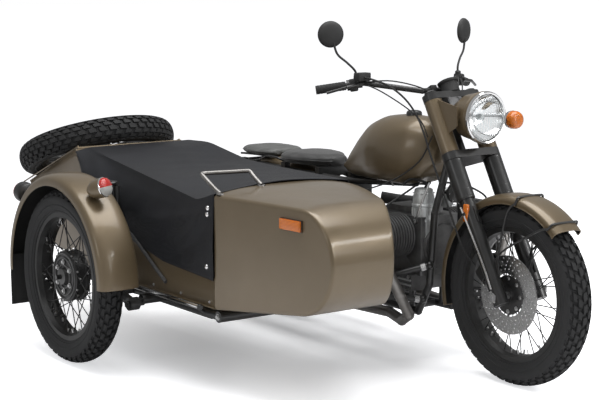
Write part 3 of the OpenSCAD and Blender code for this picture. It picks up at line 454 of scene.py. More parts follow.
def between(x, points):
    """Smooth value at x through (x, value) points."""
    if x <= points[0][0]:
        return points[0][1]
    for (x0, v0), (x1, v1) in zip(points, points[1:]):
        if x <= x1:
            return v0 + (v1 - v0) * (x - x0) / (x1 - x0)
    return points[-1][1]


def eased(x, points, spread=18.0, n=7):
    """between(), averaged over a short stretch, so that corners become round."""
    return sum(between(x + spread * (2 * k / (n - 1) - 1), points) for k in range(n)) / n


# ---- wheels ----
RIM_FLANGE = 253
TREAD = 9
BLOCKS = 48
SPOKES = 36
NIPPLE_R = 229
DISC_PLATE = -48.0
DRILLED = 30


def crown(a):
    """Tyre section: radius and sideways place at angle a, 0 to 180 degrees across the crown."""
    s = sind(a) ** 0.8 if 0 < a < 180 else 0.0
    return TYRE_R - 44 + 44 * s, -TYRE_W / 2 * cosd(a)


def tread_block(kit, place, angle, wide, turn, long, skew):
    """One tread block at an angle across the crown and a turn round the wheel."""
    top, base = [], []
    for u, v in ((-1, -1), (1, -1), (1, 1), (-1, 1)):
        a = angle + u * wide
        b = turn + v * long + skew * u * 0.12
        for shrink, lift, narrow, out in ((0.86, 0.0, 1, top), (1.0, -TREAD - 1, 0.95, base)):
            a1 = angle + (a - angle) * shrink
            b1 = turn + (b - turn) * shrink
            r, x = crown(a1)
            r = min(r + lift * max(sind(a1), 0.35), TYRE_R - 0.3)
            out.append(place @ polar(r, b1, x * narrow))
    kit.add(base + top, [[4, 5, 6, 7], [0, 1, 5, 4], [1, 2, 6, 5], [2, 3, 7, 6], [3, 0, 4, 7]], TYRE)


def tyre(name, node, body, place):
    """Carcass with moulded rings on its sidewalls and rows of tread blocks."""
    kit = Kit()
    sunk = []
    for a in range(0, 181, 6):
        r, x = crown(a)
        f = ease((sind(a) - 0.25) / 0.3)
        sunk.append([r - TREAD * f, x * (1 - 0.05 * f)])
    half = TYRE_W / 2
    wall = [[241.4, -32.6], [RIM_FLANGE + 0.4, -32.6], [RIM_FLANGE + 0.4, -39], [258, -42.5], [262, -42],
        [264, -45.5], [270, -47.5], [278, -half + 4.5], [280, -half + 2.2], [284, -half + 2.2],
        [286, -half + 3.6]]
    section = wall + [[r, x] for r, x in sunk if r > 290] + [[r, -x] for r, x in wall[::-1]]
    kit.lathe(section, place, TYRE, sides=120, closed=True)
    rows = ((90, 13, 0.0), (66, 11.5, 0.5), (114, 11.5, 0.5), (44, 11, 0.0), (136, 11, 0.0), (22, 9.5, 0.5),
        (158, 9.5, 0.5))
    for row, (angle, wide, phase) in enumerate(rows):
        share, long = (0.95, 0.036) if angle in (22, 158) else (0.80, 0.047)
        skew = 0.09 if row % 2 else -0.07
        for i in range(BLOCKS):
            turn = 2 * math.pi * (i + phase) / BLOCKS
            tread_block(kit, place, angle, wide * share, turn, long, skew)
    kit.make(name, body, [node], smooth=28)


def wheel_place(x, y):
    """Local Z along the wheel's axle."""
    return Matrix.Translation((x, y, HUB_Z)) @ Matrix.Rotation(math.pi / 2, 4, "Y")


def nipples(name, body, place, hub_r, hub_half):
    """Spoke nipples at the rim and spoke heads at the hub."""
    kit = Kit()
    for k, a in enumerate(turns(SPOKES)):
        side = 1 if k % 2 == 0 else -1
        lean = 1 if k // 2 % 2 == 0 else -1
        p = polar(hub_r, a, side * (hub_half + lean * 4.5))
        q = polar(NIPPLE_R, a + math.radians(lean * 34), side * (9 + lean * 2.6))
        d = (q - p).normalized()
        kit.bar([place @ (q - 17 * d), place @ (q - 1 * d)], 8.0, STEEL, 6)
        kit.bar([place @ (p + 1.5 * d), place @ (p + 7 * d)], 7.5, STEEL, 6)
    kit.make(name, body)


def brake_disc(place):
    """The front hub: a drilled steel ring on a black carrier, with the hub's barrel beside it."""
    kit = Kit()
    low, high = DISC_PLATE - 2.5, DISC_PLATE + 2.5
    kit.lathe([[80, low], [DISC_R, low], [DISC_R, high], [80, high]], place, STEEL, sides=144, closed=True)
    disc = kit.make("front_brake_ring", "front_wheel", ["front_hub_disc"])
    holes = Kit()
    for k in range(DRILLED):
        for r, step in ((97, 0.0), (111, 0.33), (125, 0.67), (138, 1.0)):
            a = 2 * math.pi * (k + step) / DRILLED
            holes.bar([place @ polar(r, a, DISC_PLATE + h) for h in (-6, 6)], 7.0, STEEL, 10)
    drill = holes.make("front_brake_drill", "front_wheel")
    cut = disc.modifiers.new("holes", "BOOLEAN")
    cut.object = drill
    cut.solver = "EXACT"
    apply_modifiers(disc)
    bpy.data.objects.remove(drill)
    tidy_mesh(disc, 35)
    hub = Kit()
    hub.lathe([[28, -52], [28, -40], [53, -36], [53, -24], [39, -20], [39, 20], [53, 24], [53, 36], [28, 40],
        [28, 52]], place, BLACK, sides=64)
    hub.lathe([[14.6, -51.6], [28, -52], [28, 52], [14.6, 51.6]], place, BLACK)
    rim = [[26, 3], [70, 3], [74, 1.5]]
    hub.lathe([[r, DISC_PLATE - h] for r, h in rim] + [[r, DISC_PLATE + h] for r, h in rim[::-1]], place,
        BLACK, sides=96)
    for a in turns(8):
        hub.bar([place @ polar(r, a, DISC_PLATE) for r in (66, 84)], 5.8, BLACK, 10)
        hub.bolt(place @ polar(62, a, DISC_PLATE - 2.8), (-1, 0, 0), 11, 4, STEEL)
    hub.make("front_hub_carrier", "front_wheel")


def wheels():
    flat = Matrix.Translation(middle("spare_tyre")) @ Matrix.Rotation(-LID_SLOPE, 4, "X")
    places = {"front": wheel_place(0, 0), "rear": wheel_place(0, REAR_Y),
        "sidecar": wheel_place(SIDE_X, SIDE_Y), "spare": flat}
    bodies = {wheel: wheel + "_wheel" for wheel in places}
    bodies["spare"] = "trunk_lid"
    brake_disc(places["front"])
    for wheel, place in places.items():
        tyre(wheel + "_tyre_tread", wheel + "_tyre", bodies[wheel], place)
    for wheel, hub_r, hub_half in (("front", 53.2, 30), ("rear", 101.2, 22), ("sidecar", 101.2, 22),
                                   ("spare", 61.2, 20)):
        nipples(wheel + "_nipples", bodies[wheel], places[wheel], hub_r, hub_half)
    for wheel, material in (("sidecar", DULL), ("rear", ALLOY)):
        kit = Kit()
        place = places[wheel]
        kit.lathe([[0, -49], [26, -49], [31, -46.4], [31, -46.2]], place, material, sides=32)
        for a in turns(6):
            kit.bolt(place @ polar(58, a, -35), (-1, 0, 0), 13, 8, STEEL)
        for r in (46, 74, 90):
            kit.lathe([[r - 3, -33], [r - 2, -36.5], [r + 2, -36.5], [r + 3, -33]], place, material)
        kit.make(wheel + "_hub_cap", bodies[wheel])


# ---- fenders ----
SKIN = 2.5


def fender(wheel, body, x, y, r, w, lip, start, end):
    """A rolled fender over a wheel at x and y, from angle start to end, measured up from the front."""
    def spot(v, q, deg):
        """A point v to the side and q from the axle."""
        return x + v, y - q * cosd(deg), HUB_Z + q * sind(deg)

    kit = Kit()
    section = [(r - lip - 6, -w / 2 + 0.4)]
    for t in spaced(-90, 90, 26):
        q = r - lip + lip * cosd(t) ** 0.62 if abs(t) < 90 else r - lip
        section.append((q, math.copysign(abs(sind(t)) ** 0.72, t) * w / 2))
    section.append((section[0][0], -section[0][1]))
    # The inner skin takes the near-black material, a painted shade under the fender.
    for skin, material in ((0, PAINT), (SKIN, SHADE_BLACK)):
        kit.grid([[spot(v * (1 - 2 * skin / w), q - skin, deg) for q, v in section]
            for deg in spaced(start, end, 64)], material, closed=False)
    for s in (-1, 1):
        path = [spot(s * (w / 2 - 1.6), r - lip - 5, deg) for deg in spaced(start, end, 40)]
        kit.bar(path, 5.0, PAINT, 8)
    for deg in (start, end):
        kit.bar([spot(v * 0.985, q - 1.5, deg) for q, v in section], 4.5, PAINT, 8)
    kit.make(wheel + "_fender_skin", body, [wheel + "_fender"], smooth=50)


def fenders():
    fender("sidecar", "chassis", SIDE_X, SIDE_Y, 408, 168, 40, 1.5, 183.5)
    fender("front", "fork", 0, 0, 375.5, 134, 30, 46.5, 195.5)
    fender("rear", "chassis", 0, REAR_Y, 377.5, 156, 40, 30.5, 204.5)
    kit = Kit()
    tower_x, tower_y = -1032, SIDE_Y - 96

    def stay_z(y):
        return HUB_Z + math.sqrt(378 ** 2 - (y - SIDE_Y) ** 2)

    for y in (tower_y, SIDE_Y + 120):
        kit.bar([(tower_x, y, stay_z(y)), (-1102, y, stay_z(y))], 14, BLACK)
        kit.bolt((-1098, y, stay_z(y)), (1, 0, 0), 11, 7, STEEL)
    kit.bar([(tower_x, tower_y - 10, stay_z(tower_y)), (tower_x, SIDE_Y + 120, stay_z(SIDE_Y + 120))], 17,
        BLACK)
    kit.make("fender_stays", "chassis")
    front_trim()


def front_trim():
    """Black hoops over the front fender, its stays and the side reflectors."""
    kit = Kit()
    r = 376.5
    for deg in (52, 82):
        for s in (-1, 1):
            path = []
            for t in spaced(0, 1, 8):
                q = r - (5 * t ** 4 + (26 * ease((t - 0.86) / 0.14)))
                path.append((s * t * 72, -q * cosd(deg), HUB_Z + q * sind(deg)))
            kit.tube(path, 9, BLACK, sides=8, smooth=2)
        a = math.radians(deg)
        for s in (-1, 1):
            top, mid = r - 24, r - 70
            kit.tube([(s * 72, -top * math.cos(a), HUB_Z + top * math.sin(a)),
                (s * 78, -mid * math.cos(a + 0.1), HUB_Z + mid * math.sin(a + 0.1)),
                (s * 84, 20, HUB_Z + 150), (s * 92, 4, HUB_Z + 70)], 8, BLACK, sides=8)
    for s in (-1, 1):
        p = on_leg(318, s * LEG_X, -30)
        kit.box((-7, -3, -32), (7, 5, 32), BLACK, 2, toward(p, UP) @ Matrix.Rotation(math.pi, 4, "Z"))
        kit.box((s * 124 - 6, p[1] + 18, p[2] - 32), (s * 124 + 8, p[1] + 42, p[2] + 34), AMBER, 4)
    kit.make("fender_hoops", "fork")


# ---- sidecar nose and body ----
NOSE_Y = 524.4
NOSE_CENTRE = (75.0, 560.0)
NOSE_R = 190.0
CROWN_R = 1422.0
BODY_MID = -700.0


def nose_outer(y):
    return -1000 + (525 - y) * math.tan(math.radians(4.4))


def nose_inner(y):
    return -400 - 300 * max(505 - y, 0) / 660


def nose_profile():
    """Side outline of the nose: its top, round front and underside, with outward normals."""
    cy, cz = NOSE_CENTRE
    pts = [(y, 761 - 11 * (NOSE_Y - y) / (NOSE_Y - cy)) for y in spaced(NOSE_Y, cy + 30, 14)]
    pts += [(cy + NOSE_R * cosd(a), cz + NOSE_R * sind(a)) for a in spaced(90, 262, 44)]
    end = pts[-1]
    pts += [(end[0] + (NOSE_Y - end[0]) * t, end[1] + (315 - end[1]) * t) for t in spaced(0, 1, 12)[1:]]
    out = []
    for i, (y, z) in enumerate(pts):
        a, b = pts[max(i - 1, 0)], pts[min(i + 1, len(pts) - 1)]
        d = math.hypot(b[0] - a[0], b[1] - a[1])
        out.append((y, z, (b[1] - a[1]) / d, -(b[0] - a[0]) / d))
    return out


def crowned(x, z, ny, nz):
    """Lowers the top towards its sides, with a soft blend."""
    limit = 767 - (CROWN_R - math.sqrt(CROWN_R ** 2 - (x - BODY_MID) ** 2))
    if nz <= 0:
        return z
    k = 7.0
    low = -k * math.log(math.exp(-z / k + 100) + math.exp(-limit / k + 100)) + 100 * k
    return z + (low - z) * ease(nz * 1.5)


def nose():
    kit = Kit()
    f = 13.0
    rings = []

    def shaped(x, inset=0.0):
        ring.append((x, min(y - ny * inset, NOSE_Y), crowned(x, z, ny, nz) - nz * inset))

    for y, z, ny, nz in nose_profile():
        ring = []
        xo, xi = nose_outer(y), nose_inner(y)
        for a in spaced(90, 0, 6):
            shaped(xo + f - f * sind(a), f * (1 - cosd(a)))
        for t in spaced(0, 1, 24)[1:-1]:
            shaped((xo + f) + (xi - f - xo - f) * t)
        for a in spaced(0, 90, 6):
            shaped(xi - f + f * sind(a), f * (1 - cosd(a)))
        rings.append(ring)
    kit.grid(rings, PAINT, closed=False)
    for end in (0, -1):
        kit.add([ring[end] for ring in rings], [list(range(len(rings)))], PAINT)
    # A near-black inner sheet just inside the nose paints the shade in its hollow.
    inner = [[(BODY_MID + (x - BODY_MID) * 0.985, y + 4, 540 + (z - 540) * 0.985) for x, y, z in ring[::3]]
        for ring in rings]
    kit.grid(inner, SHADE_BLACK, closed=False)
    kit.make("nose_shell", "chassis", ["nose_cowl"], smooth=32)


def marker():
    kit = Kit()
    y, z = middle("side_marker")[1:]
    place = Matrix.Translation((nose_outer(y) - 0.4, y, z)) @ Matrix.Rotation(math.radians(4.4), 4, "Z")
    kit.box((-3, -57, -21), (0, 57, 21), MATTE, 1.5, place)
    kit.box((-11.5, -55, -19), (-2.5, 55, 19), AMBER, 4, place)
    kit.make("marker_lens", "chassis", ["side_marker"])


def body_trim():
    """Ribs, seams, bolts and latches on the sidecar's body."""
    kit = Kit()
    x = -1001.5
    kit.tube([(x, 530, 322), (x, 900, 322), (x, 1500, 322), (x, 1690, 330)], 7, PAINT, sides=8, smooth=3)
    kit.tube([(x - 4, 860, 366), (x - 5, 960, 424), (x - 5, 1060, 484), (x - 5, 1160, 541)], 15, CANVAS_GREY,
        sides=10, smooth=3)
    for y in (560, 760, 960, 1160, 1360, 1560):
        kit.bolt((-1000, y, 340), (-1, 0, 0), 7, 4, STEEL)
    for y, z in ((556, 686), (560, 662), (566, 470)):
        place = toward((-1007, y, z), (-1, 0, 0.05))
        kit.lathe([[0, 7], [5, 7], [8, 5], [9.5, 2], [9.5, 0]], place, CHROME, sides=20)
    kit.make("body_trim", "chassis")
    plate = Kit()
    plate.bar([(-1026, 581, 320), (-1026, 1069, 320)], 21, CHROME, sides=20)
    for y in (640, 1000):
        plate.bar([(-1026, y, 318), (-968, y, RAIL_Z)], 13, BLACK, sides=12)
    for y in (581, 1069):
        plate.lathe([[0, 4], [8, 3.4], [11, 0], [11, -8]],
            toward((-1026, y, 320), (0, -1 if y < 800 else 1, 0)), BLACK, sides=20)
    plate.make("step_rail", "chassis", ["step_bar"])
    lid = Kit()
    slope = math.tan(LID_SLOPE)
    for s in (-1, 1):
        edge = [(-693 + s * (247 - 18 * t), 1672 + 560 * t, 804 - 560 * t * slope) for t in spaced(0, 1, 6)]
        lid.bar(edge, 7, PAINT, sides=8)
    for x in (-800, -590):
        lid.box((x - 17, 2222, 597), (x + 17, 2252, 601), BLACK, 1)
    lid.make("lid_trim", "trunk_lid")


# ---- fabric cover ----
COVER_FRONT, COVER_REAR = 527, 1636


def cover_edge(y):
    """Outer upper fold, inner fold and lower hem of the cover at y: x and z of each."""
    outer_z = eased(y, [(527, 741), (560, 728), (640, 706), (1640, 801)])
    outer_x = between(y, [(527, -998), (640, -1000), (1540, -925), (1640, -906)])
    inner_z = eased(y, [(527, 744), (1010, 748), (1215, 755), (1500, 801), (1640, 802)], 30)
    inner_x = between(y, [(527, -396), (1560, -397), (1640, -422)])
    hem_z = eased(y, [(527, 424), (880, 444), (1265, 524), (1500, 664), (1600, 750), (1640, 788)], 25)
    hem_x = between(y, [(527, -1004), (1500, -1004), (1640, -960)])
    return (outer_x, outer_z), (inner_x, inner_z), (hem_x, hem_z)


# Folds from the cover's front corner and ridge: two ends as shares of length and girth, height, width
CREASES = (((0.02, 0.57), (0.20, 0.88), 10.0, 0.035), ((0.04, 0.60), (0.42, 0.80), 7.0, 0.030),
           ((0.98, 0.50), (0.55, 0.92), 9.0, 0.045), ((0.95, 0.42), (0.30, 0.62), 5.0, 0.030),
           ((0.05, 0.30), (0.60, 0.12), 6.0, 0.050), ((0.03, 0.52), (0.50, 0.33), 7.0, 0.045),
           ((0.97, 0.15), (0.45, 0.30), 6.0, 0.050), ((0.06, 0.75), (0.25, 0.97), -5.0, 0.030))


def folds(u, v, y):
    """Height of the cloth's folds over its plain shape, in millimetres."""
    height = 5.0 * math.sin(6.2 * v + 3.1 * u) * math.sin(math.pi * v) * ease(4 * u) * ease(4 * (1 - u))
    for (u0, v0), (u1, v1), tall, wide in CREASES:
        along = ((u - u0) * (u1 - u0) + (v - v0) * (v1 - v0)) / ((u1 - u0) ** 2 + (v1 - v0) ** 2)
        away = math.hypot(u - u0 - along * (u1 - u0), v - v0 - along * (v1 - v0))
        fade = ease(along * 4 + 0.6) * ease((1.15 - along) * 3)
        height += tall * fade * math.exp(-(away / wide) ** 2)
    height += 1.0 * math.sin(31 * u + 9 * v) * math.sin(13 * v + 2) + 0.7 * math.sin(57 * u - 21 * v)
    return height


def tonneau():
    kit = Kit()
    rows = []
    n_top, n_drape = 46, 30
    for u in spaced(0, 1, 76):
        y = COVER_FRONT + u * (COVER_REAR - COVER_FRONT)
        (ox, oz), (ix, iz), (hx, hz) = cover_edge(y)
        ring = [(ix + 3, y, iz - 26), (ix + 4.5, y, iz - 12), (ix + 2.5, y, iz - 4)]
        for k in range(n_top + 1):
            t = k / n_top
            x = ix + (ox - ix) * t
            z = iz + (oz - iz) * t
            hump = math.sin(math.pi * t)
            arch = 24 * (1 - u) ** 1.5 * hump - 12 * hump * math.sin(math.pi * u)
            z += arch + 0.7 * folds(u, 0.55 * t, y) * math.sin(math.pi * min(t * 1.4, 1))
            ring.append((x, y, z))
        for k in range(1, n_drape + 1):
            t = k / n_drape
            bulge = 4 + 9 * math.sin(math.pi * t) * ease(u * 2.5)
            x = ox + (hx - ox) * ease(t * 1.6) - bulge * (t if t < 0.2 else 0.2) / 0.2 * (1 - t) ** 0.5
            z = oz + (hz - oz) * t
            x -= max(folds(u, 0.55 + 0.45 * t, y) * math.sin(math.pi * t), -3) * 0.8
            ring.append((max(x, -1017), y, z))
        rows.append(ring)
    kit.grid(rows, CANVAS, closed=False)
    o = kit.make("fabric_cover", "chassis", ["tonneau_cover"], smooth=70)
    mod = o.modifiers.new("thickness", "SOLIDIFY")
    mod.thickness = 0.0016
    mod.offset = 1
    apply_modifiers(o)
    hem = Kit()
    hem.bar([r[-1] for r in rows[::4]], 4, CANVAS, sides=6)
    hem.bar([r[0] for r in rows[::4]], 4, CANVAS, sides=6)
    hem.bar([r for r in rows[0][::3]], 4, CANVAS, sides=6)
    hem_piece = hem.make("cover_hem", "chassis")


# ---- tank and seats ----
def tank():
    kit = Kit()
    top = [(438, 838), (446, 880), (462, 911), (490, 941), (525, 959), (566, 966), (660, 966), (740, 956),
        (820, 926), (888, 870), (956, 802), (1004, 744)]
    low = [(438, 800), (470, 742), (560, 694), (934, 692), (990, 708), (1004, 722)]
    half = [(438, 30), (452, 56), (478, 84), (538, 124), (608, 141), (678, 145), (758, 134), (858, 104),
        (954, 72), (1004, 48)]
    rings = []
    for u in spaced(0, 1, 56):
        y = 438.5 + 565 * (0.5 - 0.5 * math.cos(math.pi * u))
        zt, zb, hw = eased(y, top, 14), eased(y, low, 20), eased(y, half, 20)
        if u in (0.0, 1.0):
            mid = (zt + zb) / 2
            zt, zb, hw = mid + 14, mid - 14, hw * 0.4
        zc = zb + (zt - zb) * 0.40
        ring = []
        for a in turns(56):
            c, s = math.cos(a), math.sin(a)
            if s >= 0:
                x = hw * math.copysign(abs(c) ** 0.86, c)
                z = zc + (zt - zc) * s ** 0.92
            else:
                x = hw * math.copysign(abs(c) ** 0.52, c)
                z = zc - (zc - zb) * (-s) ** 0.62
            ring.append((x, y, z))
        rings.append(ring)
    kit.grid(rings, PAINT)
    place = Matrix.Translation((0, 612, 960))
    kit.lathe([[0, 24], [18, 24], [27, 21], [31, 15], [32, 4], [38, 2], [38, 0]],
        Matrix.Translation((0, 612, 960)), BLACK, sides=40)
    kit.tube([(-40, 700, 700), (-44, 690, 690), (-46, 684, 676)], [16, 12, 9], STEEL, sides=10)
    kit.make("tank_shell", "chassis", ["fuel_tank"], smooth=60)


def pad(name, node, outline, low, high, crown_h, cover, channels=()):
    """A stuffed pad over an outline of (y, half width) points, with a piped seam round it."""
    cx = middle(node)[0]
    kit = Kit()
    y0, y1 = outline[0][0], outline[-1][0]
    mid = low + (high - crown_h - low) * 0.55

    def along(u):
        return y0 + (y1 - y0) * (0.5 - 0.5 * math.cos(math.pi * u))

    rings = []
    for u in spaced(0, 1, 40):
        y = along(u)
        hw = max(eased(y, outline, 16), 4) * (math.sin(math.pi * min(max(u, 0.012), 0.988)) ** 0.22)
        ring = []
        for a in turns(48):
            c, s = math.cos(a), math.sin(a)
            z = mid + ((high - crown_h - mid) if s > 0 else -(mid - low)) * abs(s) ** 0.5
            if s > 0:
                z += crown_h * s ** 0.7 * math.sin(math.pi * u) ** 0.35
                for c_y in channels:
                    z -= 3.5 * math.exp(-((y - c_y) / 5.0) ** 2) * s
            ring.append((cx + hw * math.copysign(abs(c) ** 0.6, c), y, z))
        rings.append(ring)
    kit.grid(rings, cover)
    o = kit.make(name, "chassis", [node], smooth=60)
    swell(o, 0.004)
    seam = Kit()
    edge = [(eased(along(t), outline, 16) * 0.985 * math.sin(math.pi * t) ** 0.22, along(t))
        for t in spaced(0.03, 0.97, 30)]
    for s in (1, -1):
        seam.bar([(cx + s * w, y, mid + 2) for w, y in edge], 4, cover, 6)
    seam.make(name + "_piping", "chassis")


def swell(o, cap):
    """Inflates a pad with a short cloth simulation; points move at most cap metres."""
    rest = np.array([v.co for v in o.data.vertices])
    mod = o.modifiers.new("swell", "CLOTH")
    s = mod.settings
    s.quality = 5
    s.mass = 0.3
    s.use_pressure = True
    s.uniform_pressure_force = 4
    s.effector_weights.gravity = 0
    s.tension_stiffness = 20
    s.compression_stiffness = 20
    for f in range(1, 13):
        bpy.context.scene.frame_set(f)
    graph = bpy.context.evaluated_depsgraph_get()
    got = np.array([v.co for v in o.evaluated_get(graph).data.vertices])
    bpy.context.scene.frame_set(1)
    o.modifiers.clear()
    move = got - rest
    size = np.linalg.norm(move, axis=1, keepdims=True)
    move *= np.minimum(1, cap / np.maximum(size, 1e-9))
    for v, p in zip(o.data.vertices, rest + move):
        v.co = p


def seats():
    pad("saddle", "driver_seat", [(1102, 58), (1150, 82), (1220, 118), (1300, 138), (1370, 138),
        (1394, 120)], 712, 758, 12, VINYL)
    z0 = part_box("pillion_seat")[0].z / MM
    pad("pillion_pad", "pillion_seat", [(1478, 96), (1530, 116), (1600, 120), (1670, 118), (1722, 100)],
        z0 + 1, z0 + 29, 6, PAD_GREY, (1560, 1640))
    kit = Kit()
    for s in (-1, 1):
        kit.tube([(s * 60, 1410, 700), (s * 92, 1440, 722), (s * 96, 1600, 722), (s * 92, 1716, 716)], 10,
            BLACK)
    kit.make("seat_rails", "chassis")


# ---- front end ----
def headlight():
    kit = Kit()
    z = middle("headlight_lens")[2]
    y0 = (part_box("headlight_lens")[1].y - ORIGIN.y) / MM - 4
    place = Matrix.Translation((0, y0, z)) @ Matrix.Rotation(-math.pi / 2, 4, "X")
    kit.lathe([[99, 6], [99.6, 0], [99, -7], [95, -11], [90, -9], [88.5, -3], [89, 3]], place, CHROME,
        sides=72)
    kit.lathe([[96, 4], [98.5, 16], [97.5, 17]], place, PAINT, sides=72)
    kit.lathe([[0, 66], [16, 64], [40, 54], [62, 38], [78, 20], [87, 3]], place, CHROME, sides=64)
    kit.lathe([[0, 14], [10, 15], [13, 24], [13, 40], [0, 42]], place, PALE, sides=24)
    kit.make("headlight_trim", "fork")
    lens = Kit()
    lens.lathe([[0, -20], [22, -19.4], [44, -16.6], [64, -11.8], [80, -5.6], [90, 0.6], [89, 2.6],
        [79, -2.6], [63, -9], [43, -14], [22, -16.8], [0, -17.5]], place, GLASS, sides=64)
    lens.make("headlight_glass", "fork", ["headlight_lens"])
    signals = Kit()
    c = Vector((middle("turn_signal")[0] + 38, 280, 959))
    q = Matrix.Translation(c) @ Matrix.Rotation(math.pi / 2, 4, "X")
    signals.bar([(107, 282, 959), (c.x - 18, 281, 959)], 15, BLACK)
    signals.lathe([[0, -18], [24, -18], [33, -14], [35.5, -6], [35.8, -2], [34, -1]], q, BLACK, sides=40)
    signals.lathe([[34, -3], [35.6, 4], [35, 20], [31, 30], [23, 35.5], [12, 37], [0, 37]], q, AMBER,
        sides=40)
    signals.lathe([[35.8, -4], [36.4, -2], [35.8, 1], [34, 1]], q, CHROME, sides=40)
    signals.make("signal_lamp", "fork", ["turn_signal"])


def mirrors():
    kit = Kit()
    for s in (-1, 1):
        c = Vector((s * 345, 702, 1288))
        turn = Matrix.Rotation(s * math.radians(22), 4, "Z")
        place = Matrix.Translation(c) @ turn @ Matrix.Rotation(-math.pi / 2, 4, "X")
        kit.lathe([[0, -9], [20, -8.6], [36, -6], [46, -1], [51, 6], [51.8, 12], [50, 14.2], [48.6, 13]],
            place, MATTE, sides=48)
        kit.lathe([[0, 12.4], [48.8, 12.4]], place, MIRROR, sides=48)
        kit.tube([(s * 261, 650, 1116), (s * 264, 655, 1146), (s * 290, 672, 1178), (s * 322, 688, 1208),
            (s * 334, 695, 1240), (s * 342, 696, 1284)], 9, MATTE)
        kit.lathe([[0, 0], [12, 0], [12, 14], [8, 18], [0, 18]], Matrix.Translation((s * 261, 650, 1112)),
            MATTE, sides=16)
    kit.make("mirror_set", "fork", ["mirrors"])


def fork_details():
    kit = Kit()
    for s in (-1, 1):
        foot = toward(on_leg(388, s * LEG_X), UP)
        kit.lathe([[29, -5], [35, -4.4], [36.3, -2], [36.3, 5], [35.4, 8], [35.4, 30], [36.2, 33],
            [36.2, 39], [35.4, 42], [35.8, 146], [36.3, 149], [36.3, 153], [30, 153.5]], foot, BLACK,
            sides=48)
        kit.lathe([[0, 5], [14, 5], [21, 2], [23.9, 0]], toward(on_leg(828, s * LEG_X), UP), STEEL, sides=24)
        for d in (-6, 6):
            kit.bolt(on_leg(2 + d * 3, s * 127.5, 0), (s, 0, 0), 8, 5, STEEL)
    kit.make("fork_gaiters", "fork")
    hose = Kit()
    hose.tube([on_leg(360, -131, 6), on_leg(300, -130, 2), on_leg(200, -129.5, -4), on_leg(100, -129.5, -8),
        on_leg(30, -129.5, -6)], 8.5, STEEL, sides=10)
    for s in (330, 180, 60):
        hose.box((-6, -7, -6), (6, 7, 6), BLACK, 2, toward(on_leg(s, -129, 0), UP))
    hose.make("leg_pipe", "fork")
    route = [(-262, 594, 1124), (-256, 556, 1118), (-222, 500, 1096), (-186, 448, 1050), (-164, 404, 990),
        (-156, 366, 920), (-154, 334, 850), (-150, 300, 780), (-146, 262, 705), (-144, 222, 630),
        (-142, 184, 560), (-138, 158, 508), (-122, 138, 468), (-104, 124, 446)]
    line = Kit()
    line.tube(route, 8, RUBBER, sides=10, smooth=4)
    line.make("brake_line", "fork", ["brake_hose"])
    cables = Kit()
    for a in ([(-250, 618, 1098), (-210, 560, 1070), (-150, 480, 1010), (-118, 430, 960), (-108, 400, 900)],
              [(240, 610, 1100), (170, 520, 1085), (80, 420, 1040), (40, 380, 960)],
              [(-240, 620, 1104), (-170, 540, 1110), (-90, 440, 1080), (-40, 380, 1020)]):
        cables.tube(a, 5.5, RUBBER, sides=8)
    cables.make("control_cables", "fork")


def bar_details():
    kit = Kit()
    tip = Vector((389.7, 742, 1072))
    run = Vector((150, 110, -28)).normalized()
    for s in (-1, 1):
        def p(v):
            return (s * v.x, v.y, v.z)
        for k in range(9):
            c = tip - run * (10 + k * 12)
            kit.lathe([[16, -4], [17.6, -2.5], [17.6, 2.5], [16, 4]], toward(p(c), p(run)), RUBBER, sides=24)
        c = tip - run * 150
        kit.box((-20, -26, -14), (20, 22, 18), MATTE, 5, toward(p(c), p(run)))
        kit.ball(p(c + Vector((0, -24, 6))), 6, MATTE)
    m = tip - run * 162
    kit.box((-m.x - 30, m.y - 54, m.z + 14), (-m.x + 28, m.y - 14, m.z + 46), MATTE, 5)
    kit.make("bar_blocks", "fork")
    dial = Kit()
    c = on_leg(818.3, 0, 8)
    c = (0, c[1] - 8, c[2])
    base = toward(on_leg(818.3 + 47, 0, -8), UP)
    dial.lathe([[40, -6], [42, -2], [42, 3], [38, 5], [36, 3], [36, 1], [0, 1]], base, MATTE, sides=48)
    dial.lathe([[0, 3.5], [35, 3.5]], base, GLASS, sides=48)
    dial.make("dial_rim", "fork")


